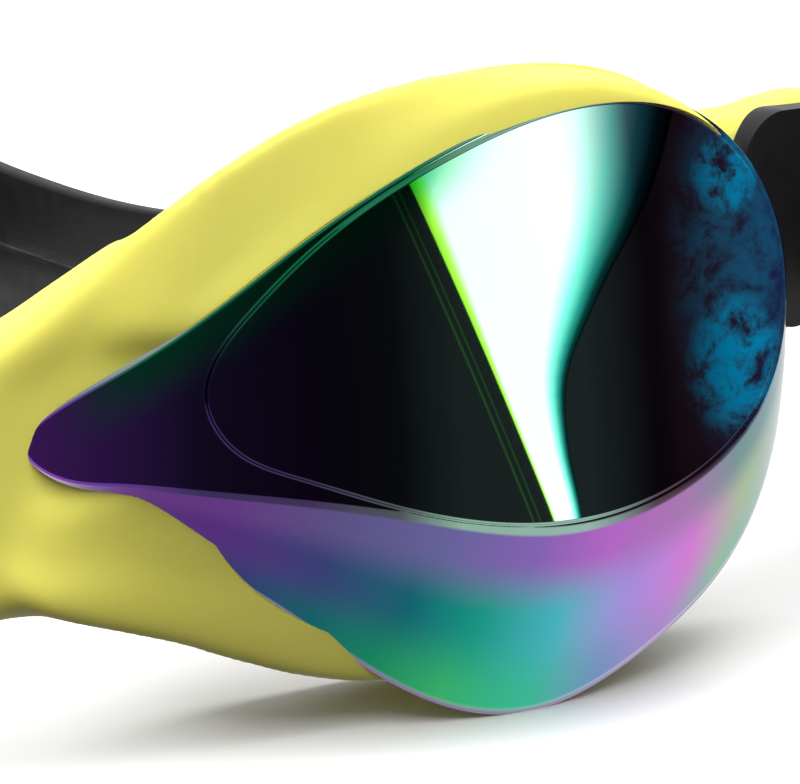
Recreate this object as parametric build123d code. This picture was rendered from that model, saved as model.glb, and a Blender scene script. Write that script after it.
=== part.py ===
from build123d import *
import math
import os

# Swim goggles: two mirrored lenses in a one-piece silicone frame, with side clips that swivel on
# pins and a split silicone strap.
# Row frame: +X to the wearer's left, -Y out of the lenses, +Z up, origin at the centre of the
# bottom of the whole object. The parts are drawn on the left side in a working frame whose Y
# starts at the front of the nose bridge, then mirrored and moved back by half the depth.
# Lengths are millimetres and angles are degrees.

# ---- lens ----
LENS_CENTRE = Vector(37.0, 7.5, 30.35)
LENS_WRAP = 13.0
LENS_TILT = 14.0
LENS_RADIUS = 120.0
LENS_WALL = 1.5
LENS_SEAT_DEPTH = 6.0
FACET_STEP = 0.45
FACET_REACH = 10.0
RIM_FRONT = 2.0
RIM_BACK = -15.0
# Rim of the lens face in the lens plane, with the outward flare of the side wall per millimetre
# of depth: u, v, flare u, flare v. It starts at the pointed nose end and runs over the top.
RIM = [
    (-30.3, -5.9, 0.0, 0.0),
    (-24.6, -1.2, 0.0, 0.0),
    (-12.5, 5.8, 0.0, 0.0),
    (-1.5, 11.3, 0.0, 0.0),
    (7.5, 13.6, 0.0, 0.0),
    (15.0, 12.5, 0.0, 0.0),
    (20.3, 7.0, 0.10, 0.0),
    (21.5, -0.5, 0.35, -0.25),
    (19.0, -8.0, 0.35, -0.75),
    (12.5, -12.8, 0.20, -1.00),
    (4.5, -14.3, 0.05, -1.18),
    (-6.0, -12.2, -0.10, -1.20),
    (-14.0, -10.3, -0.05, -1.10),
    (-20.0, -9.1, 0.0, -0.95),
    (-25.0, -8.2, 0.0, -0.50),
    (-28.9, -7.2, 0.0, -0.10),
]
# Raised teardrop facet on the lens face.
FACET = [
    (-19.0, -3.2),
    (-15.7, 2.1),
    (-8.7, 7.4),
    (-1.0, 11.0),
    (7.5, 13.1),
    (14.7, 12.0),
    (19.8, 6.8),
    (21.0, -0.5),
    (18.5, -7.7),
    (12.3, -12.3),
    (4.5, -13.8),
    (-6.9, -11.5),
    (-13.3, -8.9),
    (-17.6, -6.4),
]

# ---- frame, seal and carrier ----
REST_PLANE = (37.8, 13.0, 19.5)
FACE_PLANE = (36.5, 23.0, 18.0)
SEAT_OFFSET = 4.5
# The frame's front edge: how far it lies behind the lens face, and its slopes against that face.
FRONT_SETBACK = 1.7
FRONT_SLOPE_ACROSS = 0.03
FRONT_SLOPE_UP = 0.095
# Envelope of one side of the frame: its outline round the lens face, then its widest outline
# where the lens skirt ends, as X and height. Both start at the nose and run over the top.
FRONT_OUTLINE = [
    (-33.5, -5.5),
    (-31.0, -0.5),
    (-25.0, 1.2),
    (-12.8, 7.4),
    (-2.0, 12.8),
    (7.5, 15.0),
    (15.4, 13.1),
    (19.9, 7.6),
    (20.2, -0.5),
    (17.8, -7.6),
    (12.0, -12.0),
    (4.0, -13.2),
    (-6.0, -11.2),
    (-20.0, -10.5),
    (-27.5, -12.5),
    (-32.0, -11.5),
]
WIDE_OUTLINE = [
    (4.0, 22.5),
    (7.5, 33.6),
    (15.0, 39.0),
    (25.0, 44.1),
    (33.0, 45.6),
    (43.0, 44.8),
    (51.2, 41.2),
    (55.6, 34.6),
    (56.9, 25.0),
    (56.0, 16.0),
    (51.0, 7.3),
    (42.5, 1.9),
    (33.5, 1.6),
    (24.5, 4.6),
    (15.0, 8.7),
    (6.0, 12.5),
]
# Directions of the points that an oval is drawn through, from the nose side over the top.
OVAL_ANGLES = [180, 160, 140, 118, 98, 78, 57, 35, 12, -15, -42, -68, -95, -122, -146, -165]
# Ovals as centre X, centre height, half width and half height.
SEAT_OVAL = (35.0, 22.0, 20.6, 18.3)
SEAL_WALL = 2.2
# Lip of the face seal, as X and height, from the nose side over the top.
SEAL_OUTLINE = [
    (12.3, 21.4),
    (13.5, 28.5),
    (17.2, 34.6),
    (24.2, 39.9),
    (32.6, 42.6),
    (41.7, 43.2),
    (49.6, 41.0),
    (55.2, 35.4),
    (58.0, 26.0),
    (57.5, 15.9),
    (52.4, 7.1),
    (43.9, 1.7),
    (33.3, 0.2),
    (23.1, 3.3),
    (16.2, 9.5),
    (13.1, 15.4),
]
CAVITY_FRONT = (36.0, 22.5, 19.5, 16.5)
CAVITY_BACK = (35.0, 22.0, 18.4, 16.1)
CAVITY_LEAD = 3.0
CARRIER_WALL = 1.2

# ---- nose bridge ----
BRIDGE_HALF_LENGTH = 9.5
BRIDGE_THICKNESS = 5.6
BRIDGE_BOTTOM = 12.6
BRIDGE_TOP = 31.4
BRIDGE_RADIUS = 2.4

# ---- side arm and outrigger ----
ARM_ANGLE = 38.0
ARM_START = (56.0, 23.4)
ARM_DEPTH = 2.4
ARM_LIP = 0.9
# Outlines along and up the arm's face: the silicone arm, and the plate that it carries.
ARM_OUTLINE = [(-7.5, 10.4), (9.3, 9.4), (9.3, -8.0), (-2.5, -8.8)]
ARM_RADIUS = 4.5
PLATE_THICKNESS = 2.0
PLATE_OUTLINE = [(-3.4, 9.2), (12.2, 7.4), (12.2, -6.8), (1.4, -7.4)]
PLATE_RADIUS = 3.5
STUD_RADIUS = 1.6
STUD_REACH = 7.4
FOOT_RADIUS = 2.4
FOOT_THICKNESS = 0.8
LUG_INNER = 64.0
LUG_OUTER = 66.0
LUG_RADIUS = 5.5

# ---- side clip, in its own frame: x out of the clip, y along the strap, z up ----
PIVOT = (29.0, 30.5)
REST_TILT = -18.0
PIN_RADIUS = 1.6
PIN_HEAD_RADIUS = 2.1
PIN_HEAD = 0.7
RUNNING_GAP = 0.05
CLIP_GAP = 0.3
CLIP_LENGTH = 19.5
CLIP_HEIGHT = 14.0
CLIP_MIDDLE = -0.75
CLIP_RADIUS = 4.0
CLIP_WALL = 1.1
CLIP_FLOOR = 1.5
CLIP_RIM = 6.4
CLIP_TOP = 7.4
COVER_CHAMFER = 0.5
BAR_X = 4.0
BAR_Y = 4.0
BAR_RADIUS = 0.75
BUTTON_Y = -5.6
BUTTON_LENGTH = 5.7
BUTTON_HEIGHT = 7.7
BUTTON_TOP = 7.9
BUTTON_FLANGE = 0.75
BUTTON_BASE = 4.0
BUTTON_STEP = 5.0
BUTTON_GAP = 0.15
BUTTON_END_FLAT = 0.1
BUTTON_CHAMFER = 0.4
SPRING_HALF_SPAN = 2.9
SPRING_WIDTH = 3.0
SPRING_THICKNESS = 0.3
SPRING_FOOT = 0.39

# ---- strap ----
STRAP_THICKNESS = 1.4
STRAP_CLIP_HEIGHT = 10.5
STRAP_REAR_HEIGHT = 13.2
STRAP_INNER_X = 2.5
STRAP_TAIL_X = 5.5
STRAP_STRAIGHT_END = 49.0
STRAP_LAP = 5.0
SIDE_RADIUS = 12.0
SIDE_TURN = 75.0
BACK_RADIUS = 86.8
BACK_TURN = 45.0
TAIL_TURN = 70.0
APEX_RADIUS = 8.0
SLOT_HALF = 0.2
# Side view of the strap past its straight part, as Y and height.
STRAP_TOP_EDGE = [(60.6, 25.0), (66.0, 19.6), (73.5, 15.9), (84.0, 13.7), (96.0, STRAP_REAR_HEIGHT)]
STRAP_BOTTOM_EDGE = [(60.0, 12.6), (65.5, 7.2), (73.0, 3.2), (83.0, 0.8), (94.0, 0.0)]
SLOT_LINE = [(57.0, 20.8), (61.0, 18.4), (66.0, 13.4), (73.5, 9.55), (84.0, 7.25), (96.0, 6.6)]
TAIL_TOP_EDGE = [(57.0, 27.2), (64.6, 23.8)]
TAIL_BOTTOM_EDGE = [(55.5, 16.7), (64.6, 13.3)]

# ---- strap keeper ----
KEEPER_START = 10.0
KEEPER_WIDTH = 4.0
KEEPER_WALL = 1.2
KEEPER_GAP = 0.2
KEEPER_CHAMFER = 0.5

# Reach of the blocks that cut or clip whole parts.
BIG = 200.0


def wrapped_axes(wrap, tilt):
    """Across, up and forward directions of a plane turned by wrap and leaned back by tilt."""
    w = math.radians(wrap)
    t = math.radians(tilt)
    forward = Vector(math.sin(w) * math.cos(t), -math.cos(w) * math.cos(t), math.sin(t))
    across = Vector(math.cos(w), math.sin(w), 0)
    return across, forward.cross(across), forward


ACROSS, UP, FORWARD = wrapped_axes(LENS_WRAP, LENS_TILT)


def lens_plane(depth):
    return Plane(origin=LENS_CENTRE + FORWARD * depth, x_dir=ACROSS, z_dir=FORWARD)


def front_plane():
    """Plane of the frame's front edge, which leans a little from the lens plane."""
    normal = FORWARD - ACROSS * FRONT_SLOPE_ACROSS - UP * FRONT_SLOPE_UP
    across = ACROSS - normal * FRONT_SLOPE_ACROSS
    return Plane(origin=LENS_CENTRE - FORWARD * FRONT_SETBACK, x_dir=across, z_dir=normal)


def upright_plane(place, ahead=0.0):
    """Vertical plane through a place (X, Y, wrap), moved forward by ahead."""
    x, y, wrap = place
    across, _, forward = wrapped_axes(wrap, 0)
    return Plane(origin=Vector(x, y, 0) + forward * ahead, x_dir=across, z_dir=forward)


def on_plane(plane, place, points):
    """Closed spline on an upright plane through points given as X and height."""
    scale = math.cos(math.radians(place[2]))
    flat = [((x - place[0]) / scale, z) for x, z in points]
    return closed_spline(plane, flat)


def closed_spline(plane, points):
    """Closed spline in four edges, so that lofted sections keep matching points together."""
    placed = [plane.from_local_coords(Vector(a, b, 0)) for a, b in points]
    loop = Edge.make_spline(placed, periodic=True)
    quarter = len(placed) // 4
    stops = [0.0, placed[quarter], placed[2 * quarter], placed[3 * quarter], 1.0]
    return [loop.trim(a, b) for a, b in zip(stops, stops[1:])]


def oval(centre_x, centre_z, half_width, half_height):
    """Points of an oval as X and height, from the nose side over the top."""
    radians = [math.radians(a) for a in OVAL_ANGLES]
    return [(centre_x + half_width * math.cos(a), centre_z + half_height * math.sin(a)) for a in radians]


def ruled(*sections):
    """Solid with straight walls between the matching edges of closed sections."""
    faces = [Face(Wire(sections[0])), Face(Wire(sections[-1]))]
    for first, second in zip(sections, sections[1:]):
        faces += [Face.make_surface_from_curves(a, b) for a, b in zip(first, second)]
    return Solid(Shell(faces))


def moved_inwards(outline, inset):
    """Points of a clockwise outline, each moved inwards by inset."""
    moved = []
    for i, (a, b) in enumerate(outline):
        before = outline[i - 1]
        after = outline[(i + 1) % len(outline)]
        run, rise = after[0] - before[0], after[1] - before[1]
        length = math.hypot(run, rise)
        moved.append((a + inset * rise / length, b - inset * run / length))
    return moved


def rim_section(depth, inset=0.0):
    """Outline of the lens wall at a depth along its forward axis, moved inwards by inset."""
    section = []
    for u, v, flare_u, flare_v in RIM:
        fall = -(u * u + v * v) / (2 * LENS_RADIUS) - depth
        section.append((u + flare_u * fall, v + flare_v * fall))
    return closed_spline(lens_plane(depth), moved_inwards(section, inset))


def lens_dome(radius):
    """Ball whose front is the lens surface of the given radius."""
    return Solid.make_sphere(radius).moved(Location(LENS_CENTRE - FORWARD * LENS_RADIUS))


def behind(plane):
    """Large block that fills the space behind a plane."""
    block = Solid.make_box(BIG, BIG, BIG).moved(Location((-BIG / 2, -BIG / 2, -BIG)))
    return block.moved(plane.location)


def in_front(plane):
    """Large block that fills the space in front of a plane."""
    block = Solid.make_box(BIG, BIG, BIG).moved(Location((-BIG / 2, -BIG / 2, 0)))
    return block.moved(plane.location)


def lens_fill():
    """Whole volume inside the lens's outer surface, cut off where the lens ends."""
    body = ruled(rim_section(RIM_FRONT), rim_section(RIM_BACK)) & lens_dome(LENS_RADIUS)
    back = behind(upright_plane(REST_PLANE)) & behind(lens_plane(-LENS_SEAT_DEPTH))
    return body - back


def build_lens(fill):
    hollow = ruled(rim_section(RIM_FRONT, LENS_WALL), rim_section(RIM_BACK, LENS_WALL))
    hollow &= lens_dome(LENS_RADIUS - LENS_WALL)
    outline = Wire(closed_spline(lens_plane(1 - LENS_SEAT_DEPTH), FACET))
    facet = extrude(Face(outline), amount=FACET_REACH, dir=FORWARD) & lens_dome(LENS_RADIUS + FACET_STEP)
    return (fill + facet) - hollow


def cavity(inset):
    """Eye opening of the frame, made smaller all round by inset."""
    front = upright_plane(REST_PLANE, CAVITY_LEAD)
    back = upright_plane(FACE_PLANE, SEAT_OFFSET)
    x, z, a, b = CAVITY_FRONT
    first = on_plane(front, REST_PLANE, oval(x, z, a - inset, b - inset))
    x, z, a, b = CAVITY_BACK
    last = on_plane(back, FACE_PLANE, oval(x, z, a - inset, b - inset))
    return ruled(first, last)


def build_bridge():
    height = BRIDGE_TOP - BRIDGE_BOTTOM
    outline = Pos(BRIDGE_THICKNESS / 2, BRIDGE_BOTTOM + height / 2)
    outline *= RectangleRounded(BRIDGE_THICKNESS, height, BRIDGE_RADIUS)
    section = Plane.YZ * outline
    return extrude(section, amount=BRIDGE_HALF_LENGTH)


def arm_frame():
    """Plane on the arm's outer face: x along the arm, y up, z outwards and forward."""
    along, _, outwards = wrapped_axes(ARM_ANGLE, 0)
    return Plane(origin=Vector(ARM_START[0], ARM_START[1], PIVOT[1]), x_dir=along, z_dir=outwards)


def rounded_outline(points, radius):
    """Flat face with rounded corners through the given corner points."""
    outline = make_face(Polyline(*points, close=True))
    return fillet(outline.vertices(), radius)


def build_plate():
    """Rounded plate of the outrigger, on the arm's outer face."""
    return extrude(arm_frame() * rounded_outline(PLATE_OUTLINE, PLATE_RADIUS), amount=PLATE_THICKNESS)


def build_stud():
    return extrude(arm_frame() * Pos(STUD_REACH, 0) * Circle(STUD_RADIUS), amount=-ARM_DEPTH)


def on_pivot(turned):
    """Shape drawn round the Z axis, laid along the pivot from the inner face of the lug outwards."""
    return turned.moved(Location((LUG_INNER, PIVOT[0], PIVOT[1]), (0, 90, 0)))


def build_outrigger():
    foot_plane = arm_frame().offset(-ARM_DEPTH)
    foot = extrude(foot_plane * Pos(STUD_REACH, 0) * Circle(FOOT_RADIUS), amount=-FOOT_THICKNESS)
    lug = on_pivot(Solid.make_cylinder(LUG_RADIUS, LUG_OUTER - LUG_INNER))
    block = Box(LUG_OUTER, BIG, BIG, align=(Align.MIN, Align.CENTER, Align.CENTER))
    body = ((build_plate() + lug) & block) + build_stud() + foot
    return body - on_pivot(Solid.make_cylinder(PIN_RADIUS, LUG_OUTER - LUG_INNER + 1))


def build_arm():
    """Silicone arm behind the outrigger, with a lip round the plate."""
    outline = rounded_outline(ARM_OUTLINE, ARM_RADIUS)
    return extrude(arm_frame().offset(-ARM_DEPTH) * outline, amount=ARM_DEPTH + ARM_LIP)


def frame_side(fill):
    front = closed_spline(front_plane(), FRONT_OUTLINE)
    middle = on_plane(upright_plane(REST_PLANE), REST_PLANE, WIDE_OUTLINE)
    seat = on_plane(upright_plane(FACE_PLANE, SEAT_OFFSET), FACE_PLANE, oval(*SEAT_OVAL))
    side = ruled(front, middle, seat) + (build_arm() - seal_loft(0)) + build_bridge()
    side -= ruled(rim_section(RIM_FRONT), rim_section(RIM_BACK)) & in_front(upright_plane(REST_PLANE))
    for piece in (fill, cavity(0), build_outrigger()):
        side -= piece
    return side


def build_carrier(fill):
    """Hard ring that lines the eye opening behind the lens."""
    ring = cavity(0) - cavity(CARRIER_WALL)
    return (ring & behind(upright_plane(REST_PLANE))) - fill


def seal_loft(inset):
    """Flared volume of the face seal, made smaller all round by inset."""
    seat = moved_inwards(oval(*SEAT_OVAL), inset)
    lip = moved_inwards(SEAL_OUTLINE, inset)
    front = on_plane(upright_plane(FACE_PLANE, SEAT_OFFSET), FACE_PLANE, seat)
    back = on_plane(upright_plane(FACE_PLANE), FACE_PLANE, lip)
    return ruled(front, back)


def clip_place():
    """Where the clip's own frame sits at rest: on the pivot, with the strap end hanging down."""
    return Location((LUG_OUTER, PIVOT[0], PIVOT[1]), (REST_TILT, 0, 0))


def clip_slab(outline, low, high):
    """Plate of the clip from x = low to x = high, with its outline in y and z."""
    return extrude(Plane.YZ.offset(low) * outline, amount=high - low)


def clip_block(x, y, z):
    """Block of the clip from its ranges along x, y and z."""
    size = (x[1] - x[0], y[1] - y[0], z[1] - z[0])
    return Pos(*((a[0] + a[1]) / 2 for a in (x, y, z))) * Box(*size)


def clip_outline(inset=0.0):
    """Rounded outline of the clip, made smaller all round by inset."""
    size = (CLIP_LENGTH - 2 * inset, CLIP_HEIGHT - 2 * inset)
    return Pos(CLIP_MIDDLE, 0) * RectangleRounded(*size, CLIP_RADIUS - inset)


def build_housing():
    shell = clip_slab(clip_outline(), CLIP_GAP, CLIP_RIM)
    shell -= clip_slab(clip_outline(CLIP_WALL), CLIP_FLOOR, CLIP_RIM)
    bar = Pos(BAR_X, BAR_Y, 0) * Cylinder(BAR_RADIUS, CLIP_HEIGHT - 2 * CLIP_WALL)
    rear = CLIP_MIDDLE + CLIP_LENGTH / 2
    half = STRAP_CLIP_HEIGHT / 2 + KEEPER_GAP
    mouth = clip_block((CLIP_FLOOR, CLIP_RIM), (rear - CLIP_RADIUS, rear + 1), (-half, half))
    hole = Rot(Y=90) * Cylinder(PIN_RADIUS + RUNNING_GAP, 2 * CLIP_FLOOR + 1)
    return shell + bar - mouth - hole


def build_cover():
    plate = clip_slab(clip_outline(), CLIP_RIM, CLIP_TOP)
    plate = chamfer(plate.faces().sort_by(Axis.X)[-1].edges(), COVER_CHAMFER)
    return plate - clip_slab(button_outline(BUTTON_GAP), CLIP_RIM, CLIP_TOP)


def button_outline(grow=0.0):
    """Outline of the release button, made larger all round by grow."""
    size = (BUTTON_LENGTH + 2 * grow, BUTTON_HEIGHT + 2 * grow)
    return Pos(BUTTON_Y, 0) * RectangleRounded(*size, BUTTON_LENGTH / 2 - BUTTON_END_FLAT)


def build_button():
    cap = clip_slab(button_outline(), BUTTON_STEP, BUTTON_TOP)
    cap = chamfer(cap.faces().sort_by(Axis.X)[-1].edges(), BUTTON_CHAMFER)
    return cap + clip_slab(button_outline(BUTTON_FLANGE), BUTTON_BASE, BUTTON_STEP)


def build_spring():
    """Arched leaf between the clip's floor and the button."""
    low, high = CLIP_FLOOR, BUTTON_BASE
    left, right = BUTTON_Y - SPRING_HALF_SPAN, BUTTON_Y + SPRING_HALF_SPAN
    crown = (high - SPRING_THICKNESS, BUTTON_Y)
    outer = ThreePointArc((low, left), (high, BUTTON_Y), (low, right))
    inner = ThreePointArc((low, right - SPRING_FOOT), crown, (low, left + SPRING_FOOT))
    ends = [Line(outer @ 1, inner @ 0), Line(inner @ 1, outer @ 0)]
    strip = make_face([outer, ends[0], inner, ends[1]])
    return Pos(0, 0, -SPRING_WIDTH / 2) * extrude(strip, amount=SPRING_WIDTH)


def build_pin():
    length = LUG_OUTER + CLIP_FLOOR - LUG_INNER
    shaft = Solid.make_cylinder(PIN_RADIUS, length)
    head = Solid.make_cylinder(PIN_HEAD_RADIUS, PIN_HEAD).moved(Location((0, 0, length)))
    return on_pivot(shaft.fuse(head))


def build_keeper():
    half = STRAP_THICKNESS / 2 + KEEPER_GAP
    x = (STRAP_INNER_X - half, STRAP_TAIL_X + half)
    z = STRAP_CLIP_HEIGHT / 2 + KEEPER_GAP
    y = (KEEPER_START, KEEPER_START + KEEPER_WIDTH)
    w = KEEPER_WALL
    outer = clip_block((x[0] - w, x[1] + w), y, (-z - w, z + w))
    outer = chamfer(outer.edges().filter_by(Axis.Y), KEEPER_CHAMFER)
    return outer - clip_block(x, (y[0] - 1, y[1] + 1), (-z, z))


def strap_in_clip():
    """Strap round the clip's bar, with its two straight runs."""
    end = (STRAP_STRAIGHT_END - PIVOT[0]) / math.cos(math.radians(REST_TILT))
    half_t = STRAP_THICKNESS / 2
    half_h = STRAP_CLIP_HEIGHT / 2
    reach = (STRAP_TAIL_X - STRAP_INNER_X) / 2
    turn = Cylinder(reach + half_t, STRAP_CLIP_HEIGHT) - Cylinder(reach - half_t, STRAP_CLIP_HEIGHT)
    front_half = clip_block((0, 2 * BAR_X), (0, BAR_Y), (-STRAP_CLIP_HEIGHT, STRAP_CLIP_HEIGHT))
    runs = Pos(BAR_X, BAR_Y, 0) * turn & front_half
    for x in (STRAP_INNER_X, STRAP_TAIL_X):
        runs += clip_block((x - half_t, x + half_t), (BAR_Y, end), (-half_h, half_h))
    return clip_place() * runs


def strap_edge_start(side):
    """Point where the straight run's top (side 1) or bottom (side -1) edge ends, in side view."""
    tilt = math.radians(REST_TILT)
    reach = (STRAP_STRAIGHT_END - PIVOT[0]) / math.cos(tilt)
    half = side * STRAP_CLIP_HEIGHT / 2
    along = Vector(math.cos(tilt), math.sin(tilt))
    up = Vector(-math.sin(tilt), math.cos(tilt))
    return Vector(PIVOT[0], PIVOT[1]) + along * reach + up * half, along


def side_strip(top_points, bottom_points, level=True):
    """Side view of a strap run, from inside its straight part to its last points."""
    top, along = strap_edge_start(1)
    bottom, _ = strap_edge_start(-1)
    last = Vector(1, 0) if level else None
    ends = [along, last] if level else [along, Vector(*top_points[-1]) - Vector(*top_points[-2])]
    upper = Spline([top] + [Vector(*p) for p in top_points], tangents=ends)
    lower = Spline([bottom] + [Vector(*p) for p in bottom_points], tangents=ends)
    first_top, first_bottom = top - along * STRAP_LAP, bottom - along * STRAP_LAP
    closing = [upper @ 1, lower @ 1]
    if level:
        closing = [upper @ 1, Vector(BIG, (upper @ 1).Y), Vector(BIG, (lower @ 1).Y), lower @ 1]
    lines = [upper, Polyline(*closing), lower, Polyline(bottom, first_bottom, first_top, top)]
    return make_face(lines)


def side_cut(face):
    """Side view face, drawn as Y and height, pushed out along +X past the whole strap."""
    return extrude(Plane.YZ * face, amount=BIG / 2)


def band_face(offset, turn, whole=True):
    """Plan view of a strap run whose middle line lies offset outside the main one."""
    half = STRAP_THICKNESS / 2
    x = LUG_OUTER + STRAP_INNER_X
    y = STRAP_STRAIGHT_END
    sides = []
    for shift in (offset + half, offset - half):
        start = (x + shift, y - STRAP_LAP)
        line = Line(start, (x + shift, y))
        arc = CenterArc((x - SIDE_RADIUS, y), SIDE_RADIUS + shift, 0, turn)
        run = [line, arc]
        if whole:
            run += back_arcs(x, y, shift)
        sides.append(run)
    outer, inner = sides
    ends = [Line(outer[0] @ 0, inner[0] @ 0), Line(outer[-1] @ 1, inner[-1] @ 1)]
    return make_face(outer + inner + ends)


def back_arcs(x, y, shift):
    """Long inward arc and the tight turn at the back of the head, up to the middle of the strap."""
    turn = math.radians(SIDE_TURN)
    hub = Vector(x - SIDE_RADIUS, y)
    outwards = Vector(math.cos(turn), math.sin(turn))
    centre = hub + outwards * (SIDE_RADIUS + BACK_RADIUS)
    back = CenterArc(centre, BACK_RADIUS - shift, SIDE_TURN + 180, -BACK_TURN)
    heading = math.radians(SIDE_TURN - BACK_TURN)
    end = centre - Vector(math.cos(heading), math.sin(heading)) * BACK_RADIUS
    apex_centre = end - Vector(math.cos(heading), math.sin(heading)) * APEX_RADIUS
    apex = CenterArc(apex_centre, APEX_RADIUS + shift, SIDE_TURN - BACK_TURN, 90 - SIDE_TURN + BACK_TURN)
    return [back, apex]


def strap_rear():
    """Point in plan where the strap's middle line reaches the middle plane behind the head."""
    x = LUG_OUTER + STRAP_INNER_X
    apex = back_arcs(x, STRAP_STRAIGHT_END, 0)[1]
    return apex @ 1


def build_strap_side():
    main = extrude(band_face(0, SIDE_TURN), amount=BIG / 4)
    main &= side_cut(side_strip(STRAP_TOP_EDGE, STRAP_BOTTOM_EDGE))
    main -= side_cut(slot_face())
    offset = STRAP_TAIL_X - STRAP_INNER_X
    tail = extrude(band_face(offset, TAIL_TURN, whole=False), amount=BIG / 4)
    tail &= side_cut(side_strip(TAIL_TOP_EDGE, TAIL_BOTTOM_EDGE, level=False))
    return strap_in_clip() + main + tail


def slot_face():
    """Side view of the slit that splits the strap into two bands."""
    far = Vector(BIG, SLOT_LINE[-1][1])
    middle = [Vector(*p) for p in SLOT_LINE]
    rise = Vector(0, SLOT_HALF)
    upper = Spline([p + rise for p in middle])
    lower = Spline([p - rise for p in middle])
    ends = [Line(upper @ 0, lower @ 0), Polyline(upper @ 1, far + rise, far - rise, lower @ 1)]
    return make_face([upper, ends[1], lower, ends[0]])


def both_sides(part):
    return part, mirror(part, about=Plane.YZ)


def write(name, part, back):
    moved = Pos(0, -back, 0) * part
    box = moved.bounding_box()
    print(name, round(moved.volume, 1), [round(v, 2) for v in (*box.min, *box.max)])
    export_step(moved, f"parts/{name}.step")


def main():
    os.makedirs("parts", exist_ok=True)
    rear = strap_rear()
    depth = rear.Y + STRAP_THICKNESS / 2
    print("strap meets the middle plane at", rear, "whole depth", depth)
    fill = lens_fill()
    place = clip_place()
    pairs = {
        "lens": build_lens(fill),
        "lens_carrier": build_carrier(fill),
        "face_seal": seal_loft(0) - seal_loft(SEAL_WALL),
        "outrigger": build_outrigger(),
        "swivel_pin": build_pin(),
        "clip_housing": place * build_housing(),
        "clip_cover": place * build_cover(),
        "release_button": place * build_button(),
        "button_spring": place * build_spring(),
        "strap_keeper": place * build_keeper(),
    }
    for name, part in pairs.items():
        left, right = both_sides(part)
        write("left_" + name, left, depth / 2)
        write("right_" + name, right, depth / 2)
    left, right = both_sides(frame_side(fill))
    write("frame", left + right, depth / 2)
    left, right = both_sides(build_strap_side())
    write("head_strap", left + right, depth / 2)


if __name__ == "__main__":
    main()
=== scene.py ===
"""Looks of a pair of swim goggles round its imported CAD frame.

Shapes are worked out in millimetres in the CAD's working frame, whose Y starts at the front of the
nose bridge, and placed in the row frame in metres. Side +1 is the wearer's left and -1 the right.
"""
import math
from contextlib import contextmanager

import bmesh
import bpy
import numpy as np
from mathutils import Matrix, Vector


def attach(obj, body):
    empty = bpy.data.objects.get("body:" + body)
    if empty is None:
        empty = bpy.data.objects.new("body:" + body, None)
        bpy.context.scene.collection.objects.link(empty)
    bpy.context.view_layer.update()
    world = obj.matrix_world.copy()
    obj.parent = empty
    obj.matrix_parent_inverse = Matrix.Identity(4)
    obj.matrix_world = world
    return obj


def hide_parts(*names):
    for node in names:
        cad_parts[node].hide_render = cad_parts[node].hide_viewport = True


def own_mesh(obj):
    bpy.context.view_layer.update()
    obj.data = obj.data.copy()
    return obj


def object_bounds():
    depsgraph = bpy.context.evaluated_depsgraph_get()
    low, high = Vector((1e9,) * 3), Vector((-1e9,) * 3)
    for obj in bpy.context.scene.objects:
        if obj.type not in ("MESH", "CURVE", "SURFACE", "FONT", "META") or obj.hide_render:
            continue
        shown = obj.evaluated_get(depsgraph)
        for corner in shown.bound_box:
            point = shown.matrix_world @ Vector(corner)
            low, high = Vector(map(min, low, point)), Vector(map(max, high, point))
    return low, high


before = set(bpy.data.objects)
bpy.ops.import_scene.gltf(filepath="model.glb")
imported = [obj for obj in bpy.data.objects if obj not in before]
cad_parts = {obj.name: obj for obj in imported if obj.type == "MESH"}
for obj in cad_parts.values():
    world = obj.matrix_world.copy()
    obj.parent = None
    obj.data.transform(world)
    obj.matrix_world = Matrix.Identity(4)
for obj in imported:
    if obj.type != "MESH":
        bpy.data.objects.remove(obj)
CAD_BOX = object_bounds()
MM = 0.001
HALF_DEPTH = CAD_BOX[1].y / MM
SIDES = {"left": 1, "right": -1}

# ---- lens, as in the CAD ----
LENS_CENTRE = np.array([37.0, 7.5, 30.35])
LENS_WRAP = 13.0
LENS_TILT = 14.0
LENS_RADIUS = 120.0
LENS_WALL = 1.5
LENS_SEAT_DEPTH = 6.0
FACET_STEP = 0.45
FACET_MIDDLE = (3.0, 0.0)
# Across and up the face, and how far the wall leans out across and up for each mm of depth.
RIM = [
    (-30.3, -5.9, 0.0, 0.0), (-24.6, -1.2, 0.0, 0.0), (-12.5, 5.8, 0.0, 0.0), (-1.5, 11.3, 0.0, 0.0),
    (7.5, 13.6, 0.0, 0.0), (15.0, 12.5, 0.0, 0.0), (20.3, 7.0, 0.10, 0.0), (21.5, -0.5, 0.35, -0.25),
    (19.0, -8.0, 0.35, -0.75), (12.5, -12.8, 0.20, -1.00), (4.5, -14.3, 0.05, -1.18),
    (-6.0, -12.2, -0.10, -1.20), (-14.0, -10.3, -0.05, -1.10), (-20.0, -9.1, 0.0, -0.95),
    (-25.0, -8.2, 0.0, -0.50), (-28.9, -7.2, 0.0, -0.10),
]
FACET = [
    (-19.0, -3.2), (-15.7, 2.1), (-8.7, 7.4), (-1.0, 11.0), (7.5, 13.1), (14.7, 12.0), (19.8, 6.8),
    (21.0, -0.5), (18.5, -7.7), (12.3, -12.3), (4.5, -13.8), (-6.9, -11.5), (-13.3, -8.9), (-17.6, -6.4),
]
RIM_SAMPLES = 480
OUTLINE_SAMPLES = 4000
EDGE_ROUND = 0.22
SKIRT_BULGE = 0.25
FACE_RINGS = 24
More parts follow.
